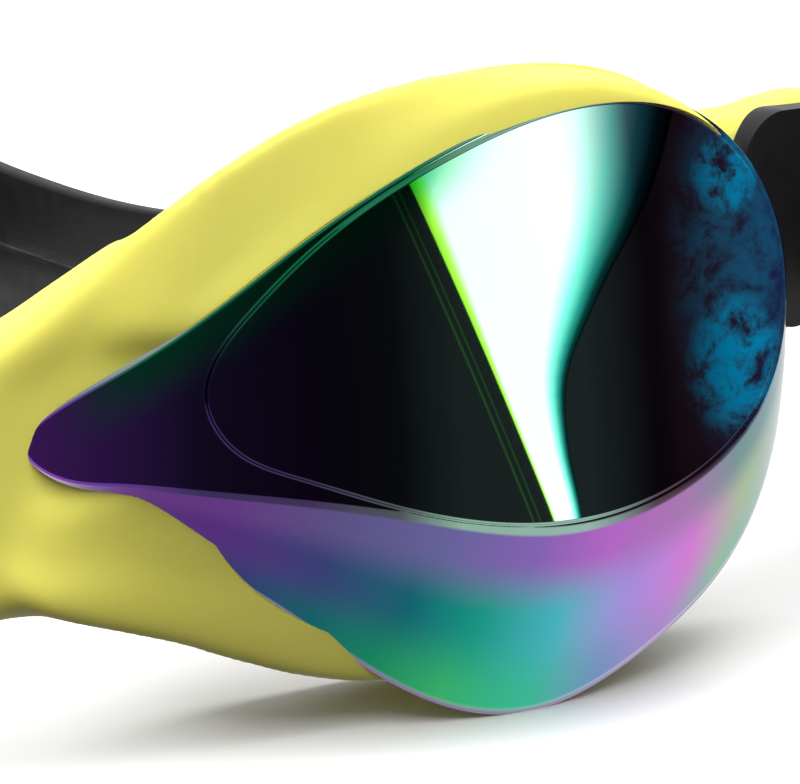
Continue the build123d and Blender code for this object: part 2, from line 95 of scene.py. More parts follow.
# Rings over the facet's edge: distance outside its outline, and height above the lens's ball.
FACET_PROFILE = [
    (-0.16, FACET_STEP), (-0.10, FACET_STEP), (-0.03, FACET_STEP - 0.03), (0.0, FACET_STEP - 0.11),
    (0.05, 0.09), (0.14, 0.0), (0.20, 0.0),
]
MARGIN_SHARES = (0.2, 0.4, 0.6, 0.8, 0.95, 1.0)
EDGE_SHARES = (0.2, 0.4, 0.6, 0.8, 1.0)
SKIRT_RINGS = 21
OUTER_RINGS = FACE_RINGS + len(FACET_PROFILE) + len(MARGIN_SHARES) + len(EDGE_SHARES) + SKIRT_RINGS

# ---- frame and seal, as in the CAD ----
REST_PLANE = (37.8, 13.0, 19.5)
FACE_PLANE = (36.5, 23.0, 18.0)
SEAT_OFFSET = 4.5
FRONT_OUTLINE = [
    (-33.5, -5.5), (-31.0, -0.5), (-25.0, 1.2), (-12.8, 7.4), (-2.0, 12.8), (7.5, 15.0), (15.0, 12.4),
    (19.2, 7.2), (19.6, -0.5), (17.8, -7.6), (12.0, -12.0), (4.0, -13.0), (-6.0, -10.4), (-19.5, -8.2),
    (-26.6, -8.8), (-31.6, -9.6),
]
WIDE_OUTLINE = [
    (4.0, 22.5), (7.5, 33.6), (15.0, 39.0), (25.0, 44.1), (33.0, 45.6), (43.0, 44.8), (50.6, 40.7),
    (54.4, 34.2), (55.6, 25.0), (55.0, 16.2), (51.0, 7.5), (42.5, 2.9), (33.5, 2.9), (24.5, 4.8),
    (15.0, 8.7), (6.0, 12.4),
]
SEAT_ANGLES = [180, 160, 140, 118, 98, 78, 57, 35, 12, -15, -42, -68, -95, -122, -146, -165]
SEAT_OVAL = (35.0, 22.0, 20.6, 18.3)
SEAL_OUTLINE = [
    (12.3, 21.4), (13.5, 28.5), (17.2, 34.6), (24.2, 39.9), (32.6, 42.6), (41.7, 43.2), (49.6, 41.0),
    (55.2, 35.4), (58.0, 26.0), (57.5, 15.9), (52.4, 7.1), (43.9, 1.7), (33.3, 0.2), (23.1, 3.3),
    (16.2, 9.5), (13.1, 15.4),
]
SEAL_WALL = 2.2
SEAL_FLARE = 1.6
SEAL_THINNING = 0.5
# Share of the way from the seat to the lip at which the seal's edge starts to roll.
SEAL_ROLL = 0.75
CAVITY_FRONT = (36.0, 22.5, 19.5, 16.5)
CAVITY_BACK = (35.0, 22.0, 18.4, 16.1)
CAVITY_LEAD = 3.0
RING_SAMPLES = 320
# Silicone lies this far inside the lens's outer surface, so that the seam is one clean line.
LENS_LAP = 0.5
FRAME_VOXEL = 0.3
# Nose bridge: X, front, depth, bottom and top of each section.
BRIDGE_SECTIONS = [
    (0.0, 0.0, 5.6, 12.3, 31.3),
    (2.0, 0.3, 5.6, 12.2, 31.5),
    (4.0, 1.4, 5.3, 12.1, 32.0),
    (6.0, 2.75, 4.7, 11.9, 32.8),
    (8.5, 4.0, 4.0, 11.6, 33.9),
    (11.0, 5.0, 3.1, 11.2, 34.6),
    (13.5, 6.1, 2.2, 10.8, 34.8),
]
# Shoulder that leads the top of the bridge into the body's top edge, in the same terms.
SHOULDER_SECTIONS = [
    (2.0, 1.4, 4.4, 26.0, 30.9),
    (4.0, 1.6, 4.6, 27.0, 31.8),
    (6.0, 2.4, 4.6, 28.0, 33.0),
    (8.5, 3.5, 4.0, 29.0, 34.6),
    (11.0, 4.8, 3.2, 30.0, 36.0),
    (13.5, 6.0, 2.4, 31.0, 37.2),
]
BRIDGE_ROUND = 2.4
# Part of the front edge, as distance across the lens, that drops to the lens face near the nose.
NOSE_DROP = (-17.0, -29.0)
NOSE_SETBACK = 0.5
FRONT_SETBACK = 1.7
FRONT_SLOPE_ACROSS = 0.03
FRONT_SLOPE_UP = 0.095
# Heights between which the changes to the body's upper edge come in, and how far the edge grows.
UPPER_RANGE = (12.0, 30.0)
WIDE_GROWTH = 0.4
# The body's upper edge is set back and down towards the nose, over this range of X.
UPPER_SETBACK = (0.0, 2.2, -0.8)
UPPER_SETBACK_RANGE = (21.0, 9.0)
# The body's back edge is rounded between these shares of the side wall and of the back.
WALL_END = 0.88
BACK_START = 0.18
# The wall below the lens is pulled in, so that it comes out only at the skirt's lower edge: its
# depth, and the outline points between which it rises and falls again.
HOLLOW_DEPTH = 4.3
HOLLOW_RANGE = (10.2, 12.4, 13.6, 15.9)
# Makes the pull's curve, a power of the share times what is left, reach 1 at its highest.
HOLLOW_POWER = 5
HOLLOW_PEAK = (HOLLOW_POWER + 1) ** (HOLLOW_POWER + 1) / HOLLOW_POWER**HOLLOW_POWER
# Joints that are rounded more: their place along X and how far the rounding reaches.
BRIDGE_JOINT = (8.5, 5.5)
ARM_JOINT = (55.5, 2.5)
ARM_JOINT_FRONT = 15.0
JOINT_ROUNDS = 140
EVEN_ROUNDS = 24

# ---- arm, as in the CAD ----
ARM_ANGLE = 38.0
ARM_START = (56.0, 23.4)
ARM_DEPTH = 2.4
ARM_RISE = 0.2
ARM_LIP = 0.9
ARM_EASE = 0.35
ARM_OUTLINE = [(-6.5, 5.5), (-3.4, 9.2), (9.3, 8.2), (9.3, -7.8), (-2.5, -8.6)]
ARM_RADIUS = 2.6
LIP_OUTLINE = [(-4.2, 9.8), (9.3, 8.3), (9.3, -7.8), (0.8, -8.2)]
LIP_RADIUS = 4.2
PLATE_OUTLINE = [(-3.4, 9.2), (12.2, 7.4), (12.2, -6.8), (1.4, -7.4)]
PLATE_RADIUS = 3.5
PLATE_CUT_HEIGHT = 6.0
PLATE_CUT_EASE = 0.01

# ---- clip and strap, as in the CAD ----
PIVOT = (66.0, 29.0, 30.5)
REST_TILT = -18.0
BAR = (4.0, 4.0)
STRAP_THICKNESS = 1.4
STRAP_CLIP_HEIGHT = 10.5
STRAP_REAR_HEIGHT = 13.2
STRAP_INNER_X = 2.5
STRAP_TAIL_X = 5.5
STRAP_STRAIGHT_END = 49.0
SIDE_RADIUS = 12.0
SIDE_TURN = 75.0
TAIL_TURN = 70.0
BACK_RADIUS = 86.8
BACK_TURN = 45.0
APEX_RADIUS = 8.0
STRAP_TOP_EDGE = [(60.6, 25.0), (66.0, 19.6), (73.5, 15.9), (84.0, 13.7), (96.0, STRAP_REAR_HEIGHT)]
STRAP_BOTTOM_EDGE = [(60.0, 12.6), (65.5, 7.2), (73.0, 3.2), (83.0, 0.8), (94.0, 0.0)]
SLOT_LINE = [(57.0, 20.8), (61.0, 18.4), (66.0, 13.4), (73.5, 9.55), (84.0, 7.25), (96.0, 6.6)]
SLOT_HALF = 0.2
# The slit opens over this run, and this many stations before it the strap's middle moves to its line.
SLOT_OPENING = 2.5
SLOT_LEAD = 40
TAIL_TOP_EDGE = [(57.0, 27.2), (64.6, 23.8)]
TAIL_BOTTOM_EDGE = [(55.5, 16.7), (64.6, 13.3)]
STRAP_ROUND = 0.45
STRAP_STEP = 0.5
TAIL_STEP = 0.2
TIP_LENGTH = 3.0
RIB_RANGE = (2.4, 14.4)
RIB_HEIGHT = 0.28
# The strap's sections turn upright over this run past its straight stretch.
LEAN_RUN = 16.0
# Steps in a quarter of the strap's rounded edge, and points between two edges.
ROUND_STEPS = 4
FLAT_POINTS = 5

# ---- eased edges of the CAD nodes, and the leaf springs ----
BEVELS = {
    "outrigger": 0.35,
    "swivel_pin": 0.15,
    "clip_housing": 0.3,
    "clip_cover": 0.15,
    "release_button": 0.15,
    "strap_keeper": 0.3,
    "lens_carrier": 0.15,
}
SPRING_BEVEL = 0.04

# ---- view ----
VIEW_AZIMUTH = -6.0
VIEW_ELEVATION = 20.0
VIEW_DISTANCE = 340.0
VIEW_TARGET = (31.06, 6.53, 25.98)
VIEW_LENS = 237.15

# ---- light ----
GLOSSY_FRONT = (0.03, 0.03, 0.035, 1)
GLOSSY_LEFT = (0.13, 0.13, 0.14, 1)
GLOSSY_RIGHT = (0.45, 0.45, 0.47, 1)
GLOSSY_BEHIND = (0.8, 0.8, 0.8, 1)
SKY_BELOW = (0.06, 0.06, 0.05, 1)
SKY_LOW = (0.09, 0.09, 0.09, 1)
SKY_HIGH = (0.72, 0.72, 0.72, 1)
KEY_PLACE = (0.08, -0.10, 0.64)
KEY_TARGET = (0.03, -0.02, 0.0)
KEY_SIZE = (0.5, 0.45)
KEY_POWER = 4.5
FILL_PLACE = (-0.02, -0.34, 0.60)
FILL_SIZE = (0.5, 0.5)
FILL_POWER = 3.4
NEAR_FLOOR_SIZE = 0.30
NEAR_FLOOR_HEIGHT = -0.0002
FLOOR_SIZE = 8.0

# ---- reflections on the left lens, as distances across and up its face ----
WEDGE_EDGE = [(3.5, -13.7), (-4.8, 9.5)]
WEDGE_FADE = [
    (5.6, -18.0), (5.5, -13.8), (4.7, -8.5), (4.9, -4.2), (7.4, 0.7), (11.9, 7.3), (14.4, 13.3), (15.6, 18.0),
]
CARD_HEIGHTS = (-17.0, 17.0)
CARD_ROWS = 33
CARD_COLUMNS = 13
CARD_DISTANCE = 700.0
WEDGE_STRENGTH = 3.2
WEDGE_COLOURS = [
    (0.000, (0.30, 0.55, 0.02, 1)),
    (0.035, (0.55, 0.90, 0.10, 1)),
    (0.080, (0.95, 1.00, 0.90, 1)),
    (0.640, (0.90, 1.00, 0.96, 1)),
    (0.770, (0.20, 0.66, 0.56, 1)),
    (0.870, (0.02, 0.22, 0.20, 1)),
    (0.940, (0.002, 0.03, 0.03, 1)),
    (1.000, (0.0, 0.0, 0.0, 1)),
]
# Faint lines beside the wedge: distance from its sharp edge and width.
STREAKS = [(-1.45, 0.16), (-0.95, 0.10)]
STREAK_STRENGTH = 0.13
STREAK_COLOUR = (0.35, 0.9, 0.25, 1.0)

# ---- mirror tints and a painted reflection on the skirt, as a place and an 8-bit colour ----
# Across the lens face, by the share of the way from the nose end to the outer end.
FACE_SPAN = (-31.0, 22.0)
FACE_TINTS = [
    (0.00, 150, 75, 200), (0.10, 110, 60, 160), (0.22, 62, 50, 96), (0.34, 70, 52, 92), (0.46, 84, 92, 96),
    (0.54, 150, 190, 170), (0.70, 160, 195, 185), (0.79, 90, 70, 84), (0.86, 58, 36, 54), (0.93, 44, 36, 66),
    (1.00, 40, 60, 110),
]
MARGIN_GREEN = (24, 120, 84)
CLOUD_BLUE = (8, 175, 230)
# Cloudy patches on the lens face: across, up, and half sizes.
CLOUDS = [(17.4, 7.6, 3.0, 3.2), (17.2, -4.6, 4.2, 5.6)]
HAZE = (17.5, 1.0, 5.5, 13.0)
HAZE_SHARE = 0.3
# Along the skirt from the outer end (0.5) round below to the nose end (1.0), just below the crease,
# half way down and at the lower edge. Just below the crease, towards the nose end, the colours are
# lighter: a painted reflection of a light strip, laid over the coating's own colours.
SKIRT_TOP_AND_PAINTED_REFLECTION = [
    (0.52, 20, 60, 70), (0.57, 60, 130, 140), (0.61, 100, 145, 145), (0.645, 175, 120, 185),
    (0.69, 190, 105, 210), (0.73, 140, 105, 190), (0.78, 110, 105, 165), (0.84, 96, 86, 140),
    (0.89, 104, 62, 138), (1.00, 104, 44, 128),
]
SKIRT_MIDDLE = [
    (0.52, 60, 130, 140), (0.57, 120, 165, 165), (0.605, 160, 190, 140), (0.64, 225, 115, 225),
    (0.675, 175, 145, 235), (0.71, 70, 190, 200), (0.75, 20, 160, 140), (0.79, 16, 105, 118),
    (0.84, 58, 66, 124), (0.90, 88, 46, 130), (1.00, 96, 44, 120),
]
SKIRT_BOTTOM = [
    (0.52, 120, 120, 150), (0.58, 100, 160, 160), (0.62, 120, 190, 150), (0.65, 180, 130, 215),
    (0.685, 110, 150, 200), (0.72, 50, 195, 155), (0.76, 56, 185, 110), (0.80, 20, 138, 100),
    (0.84, 10, 100, 108), (0.88, 50, 60, 120), (1.00, 86, 40, 112),
]
SKIRT_EDGE = (120, 85, 150)


# ---------------------------------------------------------------- points and curves


def unit(v):
    return v / np.linalg.norm(v)


def wrapped_axes(wrap, tilt):
    """Across, up and forward directions of a plane turned by wrap and leaned back by tilt."""
    w = math.radians(wrap)
    t = math.radians(tilt)
    forward = np.array([math.sin(w) * math.cos(t), -math.cos(w) * math.cos(t), math.sin(t)])
    across = np.array([math.cos(w), math.sin(w), 0.0])
    return across, np.cross(forward, across), forward


ACROSS, UP, FORWARD = wrapped_axes(LENS_WRAP, LENS_TILT)


def periodic_spline(points):
    """Closed cubic spline through points, as a function of the point's index."""
    p = np.asarray(points, float)
    n = len(p)
    gap = np.linalg.norm((np.roll(p, -1, 0) - p)[:, :2], axis=1)
    system = np.zeros((n, n))
    pull = np.zeros_like(p)
    for i in range(n):
        j = (i + 1) % n
        before = gap[i - 1]
        after = gap[i]
        system[i, i - 1] += before
        system[i, i] += 2 * (before + after)
        system[i, j] += after
        pull[i] = 6 * ((p[j] - p[i]) / after - (p[i] - p[i - 1]) / before)
    bend = np.linalg.solve(system, pull)

    def at(index):
        index = np.asarray(index, float) % n
        k = np.floor(index).astype(int) % n
        j = (k + 1) % n
        h = gap[k][:, None]
        b = (index - np.floor(index))[:, None]
        a = 1 - b
        return a * p[k] + b * p[j] + ((a**3 - a) * bend[k] + (b**3 - b) * bend[j]) * h**2 / 6

    return at


def evenly(curve, count, samples):
    """Indices that divide a closed curve of count points into samples of even length."""
    fine = np.linspace(0, count, samples * 8 + 1)
    steps = np.linalg.norm(np.diff(curve(fine % count)[:, :2], axis=0), axis=1)
    run = np.concatenate([[0], np.cumsum(steps)])
    return np.interp(np.arange(samples) * run[-1] / samples, run, fine)


def outward(ring):
    """Outward unit normals of a closed ring of flat points that runs clockwise."""
    along = np.roll(ring, -1, 0) - np.roll(ring, 1, 0)
    normal = np.stack([-along[:, 1], along[:, 0]], 1)
    return normal / np.linalg.norm(normal, axis=1)[:, None]


def smooth_line(points):
    """Smooth height through points of growing x, as a function of x. Its ends run on straight."""
    x, z = np.array(points, float).T
    slope = np.diff(z) / np.diff(x)
    tangent = np.concatenate([[slope[0]], (slope[1:] + slope[:-1]) / 2, [slope[-1]]])

    def at(place):
        place = np.asarray(place, float)
        k = np.clip(np.searchsorted(x, place) - 1, 0, len(x) - 2)
        h = x[k + 1] - x[k]
        t = (place - x[k]) / h
        u = np.clip(t, 0, 1)
        start = z[k] * (1 + 2 * u) * (1 - u) ** 2 + z[k + 1] * u**2 * (3 - 2 * u)
        bend = h * (tangent[k] * u * (1 - u) ** 2 - tangent[k + 1] * u**2 * (1 - u))
        return start + bend + (t - u) * h * np.where(t < 0, tangent[k], tangent[k + 1])

    return at


def smooth_share(value, low, high):
    """Share from 0 at low to 1 at high, with level ends."""
    t = np.clip((np.asarray(value, float) - low) / (high - low), 0, 1)
    return t * t * (3 - 2 * t)


def corner_curve(start, corner, end, t):
    """Point at t of the curve that rounds a corner."""
    return (1 - t) ** 2 * start + 2 * t * (1 - t) * corner + t**2 * end


def upright_points(place, ahead, points):
    """Points given as X and height, put on the vertical plane through place moved forward."""
    x0, y0, wrap = place
    across, _, forward = wrapped_axes(wrap, 0)
    flat = np.asarray(points, float)
    along = (flat[:, 0] - x0) / math.cos(math.radians(wrap))
    ring = np.array([x0, y0, 0.0]) + forward * ahead + along[:, None] * across
    ring[:, 2] = flat[:, 1]
    return ring


def oval(shape):
    centre_x, centre_z, half_width, half_height = shape
    a = np.radians(SEAT_ANGLES)
    return np.stack([centre_x + half_width * np.cos(a), centre_z + half_height * np.sin(a)], 1)


def ring_index(points):
    return np.arange(RING_SAMPLES) * len(points) / RING_SAMPLES


def ring_of(points):
    """Samples of a closed curve through points, the same number between each two of them."""
    return periodic_spline(points)(ring_index(points))


def rounded_outline(corners, radius, steps=7):
    """Flat outline of a convex polygon that runs clockwise, with rounded corners."""
    points = []
    p = np.array(corners, float)
    for i, corner in enumerate(p):
        before = unit(p[i - 1] - corner)
        after = unit(p[(i + 1) % len(p)] - corner)
        half = math.acos(np.clip(before @ after, -1, 1)) / 2
        centre = corner + unit(before + after) * radius / math.sin(half)
        x, y = corner + before * radius / math.tan(half) - centre
        for k in range(steps + 1):
            a = (2 * half - math.pi) * k / steps
            turned = (x * math.cos(a) - y * math.sin(a), x * math.sin(a) + y * math.cos(a))
            points.append(centre + turned)
    return np.array(points)


def lens_points(u, v, height):
    """Points from across, up and forward distances in the lens's own frame."""
    u, v, height = (np.asarray(a, float)[..., None] for a in (u, v, height))
    return LENS_CENTRE + u * ACROSS + v * UP + height * FORWARD


def dome(u, v, radius):
    """Height of the lens's ball of that radius over the lens plane."""
    return np.sqrt(radius**2 - u**2 - v**2) - LENS_RADIUS


# ---------------------------------------------------------------- meshes


def to_row(points, side=1):
    """Working millimetres to row metres, mirrored for the right side."""
    p = np.array(points, float)
    p[:, 0] *= side
    p[:, 1] -= HALF_DEPTH
    return p * MM


def link(name, data):
    obj = bpy.data.objects.new(name, data)
    bpy.context.scene.collection.objects.link(obj)
    return obj


def make_mesh(name, points, faces, side=1):
    """Smooth mesh from points in working millimetres."""
    mesh = bpy.data.meshes.new(name)
    if side < 0:
        faces = [tuple(reversed(f)) for f in faces]
    mesh.from_pydata(to_row(points, side).tolist(), [], faces)
    mesh.polygons.foreach_set("use_smooth", [True] * len(mesh.polygons))
    mesh.update()
    return link(name, mesh)


def ring_faces(rings, count, closed=False):
    """Quads between neighbouring rings of count points each, the last joined to the first if closed."""
    faces = []
    for r in range(rings if closed else rings - 1):
        a = r * count
        b = ((r + 1) % rings) * count
        for i in range(count):
            j = (i + 1) % count
            faces.append((a + i, a + j, b + j, b + i))
    return faces


def end_fans(rings, count):
    """Triangles that close the first and the last ring, round two points after all the rings."""
    total = rings * count
    last = total - count
    first_fan = [(total, i, (i + 1) % count) for i in range(count)]
    return first_fan + [(last + (i + 1) % count, last + i, total + 1) for i in range(count)]


def closed_sweep(name, rings, side=1):
    """Closed mesh from a list of rings with the same number of points."""
    points = np.vstack([*rings, rings[0].mean(0), rings[-1].mean(0)])
    size = (len(rings), len(rings[0]))
    obj = make_mesh(name, points, ring_faces(*size) + end_fans(*size), side)
    outward_faces(obj)
    return obj


def set_vectors(obj, name, values):
    """Keeps a vector for each point, which the material reads as an attribute."""
    attribute = obj.data.attributes.new(name, "FLOAT_VECTOR", "POINT")
    attribute.data.foreach_set("vector", np.asarray(values, np.float32).ravel())


@contextmanager
def editing(obj):
    """Mesh of an object, opened for editing."""
    work = bmesh.new()
    work.from_mesh(obj.data)
    yield work
    work.to_mesh(obj.data)
    work.free()


def outward_faces(obj):
    """Turns all faces outwards."""
    with editing(obj) as work:
        bmesh.ops.recalc_face_normals(work, faces=work.faces)


def weld(obj, distance):
    with editing(obj) as work:
        bmesh.ops.remove_doubles(work, verts=work.verts, dist=distance)


def smooth_by_angle(obj, degrees):
    """Smooth shading, with sharp edges where faces meet at more than an angle."""
    limit = math.radians(degrees)
    with editing(obj) as work:
        for face in work.faces:
            face.smooth = True
        for edge in work.edges:
            if len(edge.link_faces) == 2:
                edge.smooth = edge.calc_face_angle() < limit


def apply_modifiers(obj):
    """Bakes an object's modifiers into its mesh."""
    graph = bpy.context.evaluated_depsgraph_get()
    mesh = bpy.data.meshes.new_from_object(obj.evaluated_get(graph))
    obj.modifiers.clear()
    obj.data = mesh


def remove(*objs):
    for obj in objs:
        bpy.data.objects.remove(obj)


def join(name, objs):
    """One object from the meshes of several."""
    work = bmesh.new()
    for obj in objs:
        work.from_mesh(obj.data)
    mesh = bpy.data.meshes.new(name)
    work.to_mesh(mesh)
    work.free()
    remove(*objs)
    return link(name, mesh)


def place_piece(obj, body, nodes):
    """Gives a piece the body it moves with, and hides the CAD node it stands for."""
    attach(obj, body)
    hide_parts(nodes)


def repaint(obj, *materials):
    obj.data.materials.clear()
    for material in materials:
        obj.data.materials.append(material)


# ---------------------------------------------------------------- lens


def rim_end(u, v, flare_u, flare_v):
    """Depth behind the dome at which each wall line meets the rest plane or the seat depth."""
    x0, y0, wrap = REST_PLANE
    _, _, forward = wrapped_axes(wrap, 0)
    start = lens_points(u, v, dome(u, v, LENS_RADIUS))
    line = lens_points(flare_u, flare_v, np.full_like(u, -1.0)) - LENS_CENTRE
    gap = (start - np.array([x0, y0, 0.0])) @ forward
    return np.maximum(gap / -(line @ forward), LENS_SEAT_DEPTH + dome(u, v, LENS_RADIUS))


def rim_samples(inset=0.0):
    """Rim points with their flares, evenly spaced, moved inwards by inset."""
    curve = periodic_spline(RIM)
    rim = curve(evenly(curve, len(RIM), RIM_SAMPLES))
    rim[:, :2] -= inset * outward(rim[:, :2])
    return rim


def facet_samples(rim):
    """Points of the facet's outline at the same angles round its middle as the rim's points."""
    middle = np.array(FACET_MIDDLE)
    fine = periodic_spline(FACET)(np.arange(OUTLINE_SAMPLES) * len(FACET) / OUTLINE_SAMPLES)
    angle = np.unwrap(np.arctan2(*(fine - middle).T[::-1]))
    wanted = np.unwrap(np.arctan2(*(rim[:, :2] - middle).T[::-1]))
    turn = 2 * math.pi
    order = np.argsort(angle)
    angle, fine = angle[order], fine[order]
    wanted = (wanted - angle[0]) % turn + angle[0]
    return np.stack([np.interp(wanted, angle, fine[:, k], period=turn) for k in (0, 1)], 1)


def dome_ring(flat, radius, share=0.0):
    """Ring of the lens on its ball, as across, up, height and share of the skirt's depth."""
    return (*flat.T, dome(flat[:, 0], flat[:, 1], radius), np.full(len(flat), share))


def face_rings(rim):
    """Rings of the lens's front from the facet's middle out to the rim's corner."""
    facet = facet_samples(rim)
    normal = outward(facet)
    middle = np.array(FACET_MIDDLE)
    raised = LENS_RADIUS + FACET_STEP
    shares = np.linspace(0.04, 0.96, FACE_RINGS)
    rings = [dome_ring(middle + share * (facet - middle), raised) for share in shares]
    rings += [dome_ring(facet + out * normal, LENS_RADIUS + rise) for out, rise in FACET_PROFILE]
    foot = facet + FACET_PROFILE[-1][0] * normal
    edge = rim[:, :2] - EDGE_ROUND * outward(rim[:, :2])
    return rings + [dome_ring(foot + share * (edge - foot), LENS_RADIUS) for share in MARGIN_SHARES]


def lens_rings():
    """Rings of the lens from the facet's middle over the rim and skirt and back inside."""
    rim = rim_samples()
    rings = face_rings(rim)
    u, v, flare_u, flare_v = rim.T
    top = dome(u, v, LENS_RADIUS)
    end = rim_end(u, v, flare_u, flare_v)
    normal = outward(rim[:, :2])

    def wall(depth, out=0.0):
        side = normal * np.reshape(out, (-1, 1))
        return np.stack([u + flare_u * depth + side[:, 0], v + flare_v * depth + side[:, 1], top - depth])

    def add_wall(depth, out, share):
        rings.append((*wall(depth, out), np.full(len(u), share)))

    start = np.stack(rings[-1][:3])
    for t in EDGE_SHARES:
        rings.append((*corner_curve(start, wall(0.0), wall(EDGE_ROUND), t), np.zeros(len(u))))
    for share in np.linspace(0.0, 1.0, SKIRT_RINGS + 1)[1:]:
        bulge = SKIRT_BULGE * np.sin(math.pi * share) * np.clip(-flare_v, 0, 1)
        add_wall(EDGE_ROUND + share * (end - EDGE_ROUND), bulge, share)
    for share in (0.12, 0.5, 0.88):
        add_wall(end, -LENS_WALL * share, 1.0)
    for share in (0.06, 0.5, 0.95):
        add_wall(end - share * (end - LENS_WALL - 0.1), -LENS_WALL, 1.0)
    middle = np.array(FACET_MIDDLE)
    inside = rim_samples(LENS_WALL + 0.3)[:, :2]
    for share in np.linspace(1.0, 0.05, 12):
        rings.append(dome_ring(middle + share * (inside - middle), LENS_RADIUS - LENS_WALL, 1.0))
    return rings


def build_lens(side_name, side, outer, inner):
    rings = lens_rings()
    count = RIM_SAMPLES
    u, v, height, skirt = (np.concatenate(column) for column in zip(*rings))
    middle_u, middle_v = FACET_MIDDLE
    ends = [dome(middle_u, middle_v, LENS_RADIUS + rise) for rise in (FACET_STEP, -LENS_WALL)]
    u = np.append(u, [middle_u, middle_u])
    v = np.append(v, [middle_v, middle_v])
    height = np.append(height, ends)
    faces = ring_faces(len(rings), count) + end_fans(len(rings), count)
    obj = make_mesh(f"{side_name}_mirror_lens", lens_points(u, v, height), faces, side)
    repaint(obj, outer, inner)
    outside = [0] * (OUTER_RINGS - 1) * count
    inside = [1] * (len(rings) - OUTER_RINGS) * count
    obj.data.polygons.foreach_set("material_index", outside + inside + [0] * count + [1] * count)
    along = np.append(np.tile(np.arange(count) / count, len(rings)), [0, 0])
    set_vectors(obj, "lens_face", np.stack([u, v, height], 1))
    set_vectors(obj, "lens_skirt", np.stack([along, np.append(skirt, [0, 1]), np.zeros(len(u))], 1))
    outward_faces(obj)
    place_piece(obj, "goggles", f"{side_name}_lens")


def lens_cutter(side):
    """Closed volume just inside the lens's outer surface, which the silicone is cut by."""
    u, v, flare_u, flare_v = rim_samples(LENS_LAP).T
    top = dome(u, v, LENS_RADIUS)
    depths = (np.full_like(u, -3.0), rim_end(u, v, flare_u, flare_v))
    rings = [lens_points(u + flare_u * depth, v + flare_v * depth, top - depth) for depth in depths]
    return closed_sweep("lens_cutter", rings, side)


# ---------------------------------------------------------------- silicone frame


def front_ring():
    """Front edge of the frame, level with the lens face near the nose."""
    u, v = ring_of(FRONT_OUTLINE).T
    edge = -FRONT_SETBACK + FRONT_SLOPE_ACROSS * u + FRONT_SLOPE_UP * v
    face = dome(u, v, LENS_RADIUS) - NOSE_SETBACK
    return lens_points(u, v, edge + smooth_share(u, *NOSE_DROP) * (face - edge))


def wide_ring():
    """Back edge of the frame's side wall, fuller above and set back towards the nose."""
    outline = ring_of(WIDE_OUTLINE)
    upper = smooth_share(outline[:, 1], *UPPER_RANGE)[:, None]
    wide = upright_points(REST_PLANE, 0, outline + WIDE_GROWTH * upper * outward(outline))
    near_nose = smooth_share(outline[:, 0], *UPPER_SETBACK_RANGE)[:, None]
    return wide + upper * near_nose * np.array(UPPER_SETBACK)


def hollow_pull():
    """How far the side wall is pulled in at its hollowest, for each point of its outline."""
    outline = ring_of(WIDE_OUTLINE)
    index = ring_index(WIDE_OUTLINE)
    a, b, c, d = HOLLOW_RANGE
    pull = HOLLOW_DEPTH * smooth_share(index, a, b) * (1 - smooth_share(index, c, d))
    inwards = -outward(outline) * pull[:, None]
    return np.column_stack([inwards[:, 0], np.zeros(len(inwards)), inwards[:, 1]])


def body_shell(side):
    """Closed envelope of one side of the frame, with softly rounded edges."""
    front = front_ring()
    wide = wide_ring()
    hollow = hollow_pull()
    seat = upright_points(FACE_PLANE, SEAT_OFFSET, ring_of(oval(SEAT_OVAL)))

    def wall(share):
        return front + share * (wide - front) + hollow * HOLLOW_PEAK * share**HOLLOW_POWER * (1 - share)

    back_start = wide + BACK_START * (seat - wide)
    rings = [wall(share) for share in np.linspace(0, WALL_END, 16)]
    rings += [corner_curve(wall(WALL_END), wide, back_start, t) for t in np.linspace(0.15, 0.85, 6)]
    rings += [wide + share * (seat - wide) for share in np.linspace(BACK_START, 1, 7)]
    return closed_sweep("body_shell", rings, side)


def bridge_shell(side, sections):
    """Rounded bar along X through sections given as X, front, depth, bottom and top."""
    rings = []
    x, *sizes = np.array(sections).T
    for place in np.linspace(x[0] - 1.0, x[-1], 24):
        front, depth, bottom, top = (np.interp(place, x, size) for size in sizes)
        back = front + depth
        corners = [(front, top), (back, top), (back, bottom), (front, bottom)]
        ring = rounded_outline(corners, min(BRIDGE_ROUND, 0.49 * depth), steps=6)
        rings.append(np.column_stack([np.full(len(ring), place), ring]))
    return closed_sweep("bridge_shell", rings, side)


def arm_points(flat, out):
    """Points of the arm's face, given along and up it, moved out of it by a distance."""
    along, _, outwards = wrapped_axes(ARM_ANGLE, 0)
    points = np.array([*ARM_START, PIVOT[2]]) + flat[:, :1] * along + out * outwards
    points[:, 2] += flat[:, 1]
    return points


def arm_slab(name, corners, radius, low, high, side, edge=ARM_EASE):
    """Rounded plate on the arm, between two distances out of its face, with eased edges."""
    flat = rounded_outline(corners, radius)
    inner = flat - edge * outward(flat)
    levels = ((inner, low), (flat, low + edge), (flat, high - edge), (inner, high))
    return closed_sweep(name, [arm_points(ring, out) for ring, out in levels], side)


def cavity_cutter(side):
    front = upright_points(REST_PLANE, CAVITY_LEAD, ring_of(oval(CAVITY_FRONT)))
    back = upright_points(FACE_PLANE, SEAT_OFFSET, ring_of(oval(CAVITY_BACK)))
    return closed_sweep("cavity_cutter", [front, back, back + 0.3 * (back - front)], side)


